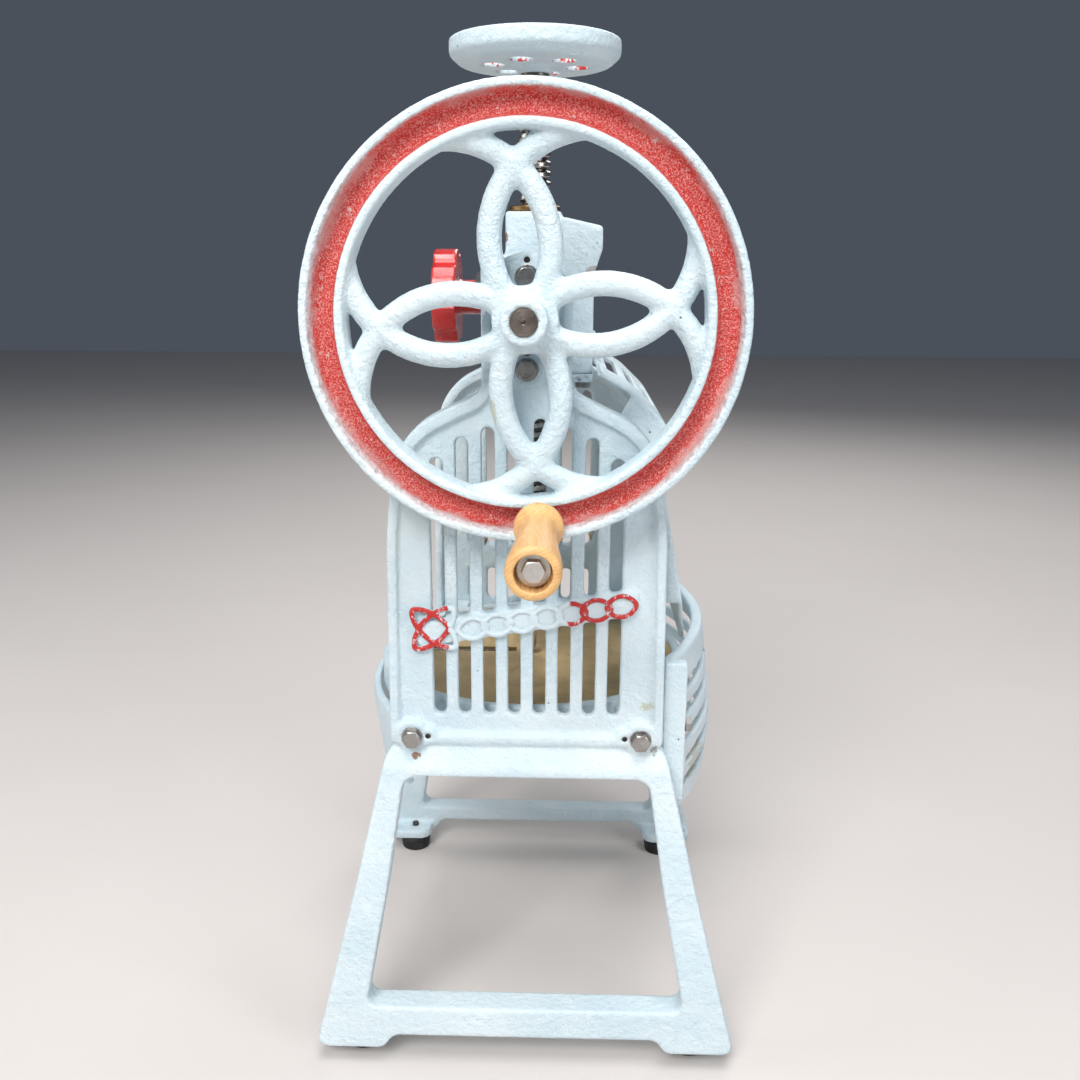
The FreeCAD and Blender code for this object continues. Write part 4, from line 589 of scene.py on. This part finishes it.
def tube_along(path, radius, sides):
    """Points and faces of a round bar along a path, with flat ends."""
    path = np.asarray(path, float)
    along = np.gradient(path, axis=0)
    along /= np.linalg.norm(along, axis=1, keepdims=True)
    side = np.cross(along, np.array([0.0, 1.0, 0.0]))
    side /= np.linalg.norm(side, axis=1, keepdims=True)
    other = np.cross(along, side)
    angle = np.arange(sides) * 2 * math.pi / sides
    points = []
    for i in range(len(path)):
        ring = (np.cos(angle)[:, None] * side[i] + np.sin(angle)[:, None] * other[i]) * radius
        points.append(path[i] + ring)
    return np.concatenate(points), ring_faces(len(path), sides)


def joined(parts):
    """Several (points, faces) as one."""
    points, faces, base = [], [], 0
    for part_points, part_faces in parts:
        points.append(np.asarray(part_points))
        faces += [tuple(i + base for i in face) for face in part_faces]
        base += len(part_points)
    return np.concatenate(points), faces


def remeshed(piece, voxel, ease, fill):
    """Turns a piece of crossing solids into one smooth skin."""
    crossing, name = piece.data, piece.name
    points, faces = voxel_skin(piece, voxel)
    bpy.data.meshes.remove(crossing)
    return new_piece(name, relaxed(points, faces, ease, fill), faces)


BAND_MIDDLE = 0.340
BAND_SLOPE = (0.353 - 0.327) / 0.154


def band_height(x):
    """Height of the slanted band's middle line."""
    return BAND_MIDDLE + x * BAND_SLOPE


def band_relief(material):
    """A plain chain of raised pointed ovals along the front band, and a larger knot of
    crossing ovals at its left end."""
    front, slope = -0.1434, math.atan(BAND_SLOPE)
    ovals, first_x, pitch = 7, -0.0375, 0.0172
    knot_x, knot_lift = -0.0645, 0.004
    parts = []

    def oval(x, z, length, height, turn, radius):
        angle = np.linspace(0, 2 * math.pi, 33)[:-1]
        u = np.cos(angle) * length / 2
        v = np.sin(angle) * np.abs(np.sin(angle)) ** 0.35 * height / 2
        c, s = math.cos(turn), math.sin(turn)
        ring = np.stack([x + u * c - v * s, np.full_like(u, front), z + u * s + v * c], 1)
        ring = np.concatenate([ring, ring[:2]])
        return tube_along(ring, radius, 8)

    for index in range(ovals):
        x = first_x + index * pitch
        parts.append(oval(x, band_height(x), 0.0205, 0.0150, slope, 0.0020))
        x += pitch / 2
        bead = np.array([[x, front - 0.0002, band_height(x)],
                         [x + 0.0004, front - 0.0002, band_height(x)]])
        parts.append(tube_along(bead, 0.0024, 10))
    for turn in (math.radians(48), math.radians(138)):
        parts.append(oval(knot_x, band_height(knot_x) + knot_lift, 0.040, 0.0170, turn, 0.0021))
    piece = new_piece("band_relief", *joined(parts))
    piece = remeshed(piece, 0.0005, 2, 3)
    piece.data.materials.append(material)
    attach(piece, "root")


def feed_screw(material):
    """The feed screw with its real coarse thread, cut by the keyway."""
    low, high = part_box("feed_screw")
    crest_radius, root_radius, collar_radius, pitch = 0.01195, 0.0092, 0.0106, 0.0072
    spigot_radius, spigot_tip, tip_chamfer = 0.00695, 0.0062, 0.0006
    key_half_width, key_floor, key_top = 0.0028, 0.0091, 0.690
    shoulder, thread_top, foot = 0.714, 0.687, low.z
    sides, step = 56, 0.0006
    heights = np.append(np.arange(foot, shoulder, step), shoulder)
    level = heights[:, None]
    angle = np.arange(sides) * 2 * math.pi / sides
    turn = np.mod(level / pitch - angle[None, :] / (2 * math.pi), 1.0)
    crest = np.clip((0.36 - np.abs(turn - 0.5)) / 0.13, 0.0, 1.0)
    crest = crest * crest * (3 - 2 * crest)
    radius = root_radius + (crest_radius - root_radius) * crest
    threaded = np.clip((thread_top - level) / 0.003, 0, 1)
    radius = radius * threaded + collar_radius * (1 - threaded)
    radius = radius * (0.8 + 0.2 * np.clip((level - foot) / 0.002, 0, 1))
    in_key = (np.abs(np.cos(angle)) * crest_radius < key_half_width) & (np.sin(angle) > 0)
    keyed = in_key[None, :] & (level < key_top)
    radius = np.where(keyed, np.minimum(radius, key_floor), radius)
    rings = np.stack([np.cos(angle) * radius, np.sin(angle) * radius,
                      np.broadcast_to(level, radius.shape)], 2)
    spigot = [(math.cos(a) * reach, math.sin(a) * reach, z)
              for reach, z in ((spigot_radius, shoulder), (spigot_radius, high.z - tip_chamfer),
                               (spigot_tip, high.z)) for a in angle]
    points = np.concatenate([rings.reshape(-1, 3), np.array(spigot)])
    piece = new_piece("threaded_screw", points, ring_faces(len(heights) + 3, sides))
    piece.data.materials.append(material)
    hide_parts("feed_screw")
    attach(piece, "spindle")


def bevelled(node, width, segments=2):
    """Breaks a CAD node's sharp edges."""
    thing = NODES[node]
    weld = thing.modifiers.new("weld", "WELD")
    weld.merge_threshold = 1e-6
    bevel = thing.modifiers.new("bevel", "BEVEL")
    bevel.width = width
    bevel.segments = segments
    bevel.limit_method = "ANGLE"
    bevel.angle_limit = math.radians(30)
    bevel.use_clamp_overlap = True
    bevel.harden_normals = True


def dress(node, material):
    """Gives every slot of a CAD node one material."""
    thing = NODES[node]
    if not thing.material_slots:
        thing.data.materials.append(material)
    for slot in thing.material_slots:
        slot.material = material


# ---------------------------------------------------------------- the object

aim_camera()
light_scene()

floor = new_piece("floor", [(-6, -6, 0), (6, -6, 0), (6, 6, 0), (-6, 6, 0)], [(0, 1, 2, 3)],
                  False)
floor.data.materials.append(floor_pale())

FINE = 1.0  # coarser skins while trying things out

front_paint = cast_paint("front_paint", 0.0, (
    # The first mark darkens and cools the recessed plate face: painted shade from the wheel in
    # front of it, and partly greyer, duller paint.
    ((0.0, -0.139, 0.37), (0.115, 0.006, 0.150), (0.45, 0.585, 0.66), 0.55, 420.0),
    ((-0.0790, -0.147, 0.2375), (0.0075, 0.02, 0.0050), RUST, 0.9, 260.0),
    ((0.0850, -0.147, 0.2760), (0.0130, 0.02, 0.0120), YELLOWED, 0.5, 190.0),
    ((0.0915, -0.147, 0.2440), (0.0060, 0.02, 0.0090), (0.16, 0.12, 0.08), 0.7, 420.0)))
rear_paint = cast_paint("rear_paint", 1.7)
head_paint = cast_paint("head_paint", 0.0, (
    ((-0.021, -0.012, 0.598), (0.006, 0.024, 0.020), (0.20, 0.09, 0.05), 0.9, 160.0),
    ((0.045, -0.046, 0.575), (0.012, 0.006, 0.008), RUST, 0.5, 220.0)))
skirt_paint = cast_paint("skirt_paint", 0.0, (
    ((0.139, -0.015, 0.268), (0.014, 0.020, 0.012), TAPE_BLUE, 0.95, 60.0),
    ((0.141, -0.045, 0.232), (0.010, 0.012, 0.007), TAPE_BLUE, 0.8, 60.0),
    ((0.123, -0.090, 0.212), (0.030, 0.050, 0.026), YELLOWED, 0.45, 260.0)), 0.9)
guard_paint = cast_paint("guard_paint", 2.3, coarse=0.9)
plain_paint = cast_paint("plain_paint", 5.2)

cast("front_frame", 0.0014 * FINE, front_paint, 3, 5, 0.00022, near_small_holes)
cast("rear_frame", 0.0018 * FINE, rear_paint, 3, 5, 0.00022, near_small_holes)
cast("head_casting", 0.0013 * FINE, head_paint, 3, 8, 0.00018)
cast("handwheel", 0.0013 * FINE, wheel_paint(), 3, 34, 0.00026, near_hub_and_rim)
cast("top_wheel", 0.0010 * FINE, dish_paint(), 3, 6, 0.00012)
cast("right_skirt", 0.0013 * FINE, skirt_paint, 3, 8, 0.00016)
cast("left_skirt", 0.0013 * FINE, plain_paint, 3, 8, 0.00016)
cast("side_guard", 0.0011 * FINE, guard_paint, 2, 5, 0.00012)
cast("table_ring", 0.0016 * FINE, plain_paint, 3, 6, 0.00014)
cast("presser_plate", 0.0011 * FINE, plain_paint, 2, 5, 0.00012)
cast("brake_knob", 0.0009 * FINE, knob_paint(), 3, 6, 0.00005)
band_relief(relief_paint())
feed_screw(screw_thread_metal())

bolt_steel = steel("bolt_steel", (0.44, 0.43, 0.415), (0.30, 0.29, 0.28), (0.22, 0.36), 240.0,
                   grime=0.7)
zinc = steel("dull_zinc", (0.74, 0.73, 0.70), (0.60, 0.58, 0.54), (0.36, 0.52), 200.0, grime=0.3)
shaft_steel = steel("shaft_steel", (0.36, 0.31, 0.27), (0.24, 0.20, 0.17), (0.22, 0.40), 180.0,
                    ("Y", (0.0, 0.0, SHAFT_Z)), 0.7)
dark_steel = steel("dark_steel", (0.16, 0.15, 0.14), (0.07, 0.065, 0.06), (0.34, 0.52), 220.0)
blade_steel = steel("blade_steel", (0.62, 0.63, 0.64), (0.50, 0.50, 0.50), (0.16, 0.30), 160.0)
gear_iron = steel("gear_iron", (0.20, 0.19, 0.18), (0.10, 0.095, 0.09), (0.30, 0.50), 150.0,
                  grime=0.8)
bush_bronze = bronze()
for_node = {
    "head_bolts": bolt_steel, "table_bolts": bolt_steel, "bolt_washers": bolt_steel,
    "locating_screws": dark_steel, "foot_screws": dark_steel, "cover_screws": bolt_steel,
    "oil_screw": bolt_steel, "hub_screw": dark_steel, "main_shaft": shaft_steel,
    "grip_bolt": zinc, "grip_washer": zinc, "pinion_pin": dark_steel,
    "feather_key": dark_steel, "top_nut": bolt_steel, "presser_spikes": blade_steel,
    "presser_bolt": bolt_steel, "disc_centre_screw": bush_bronze, "knife_blade": blade_steel,
    "blade_clamp": dark_steel, "blade_screws": bolt_steel, "skirt_screws": bolt_steel,
    "guard_screws": bolt_steel, "brake_stud": dark_steel, "knob_nut": bolt_steel,
    "brake_shoe": bush_bronze, "crown_gear": gear_iron, "bevel_pinion": gear_iron,
    "front_bush": bush_bronze, "inner_bush": bush_bronze, "drive_bush": bush_bronze,
    "thrust_washer": bush_bronze, "feed_nut": bush_bronze, "blade_disc": disc_brass(),
    "wood_grip": grip_maple(), "rubber_feet": rubber(), "gear_cover": plain_paint,
}
for node, material in for_node.items():
    dress(node, material)
for node in ("head_bolts", "table_bolts", "grip_bolt", "top_nut", "presser_bolt"):
    bevelled(node, 0.0007)
for node in ("cover_screws", "oil_screw", "skirt_screws", "guard_screws", "knob_nut",
             "blade_screws", "disc_centre_screw"):
    bevelled(node, 0.0005)
for node in ("bolt_washers", "grip_washer", "blade_clamp", "gear_cover", "brake_shoe",
             "knife_blade"):
    bevelled(node, 0.0003)
bevelled("rubber_feet", 0.0012, 3)
bevelled("main_shaft", 0.0006)
bevelled("blade_disc", 0.0005)
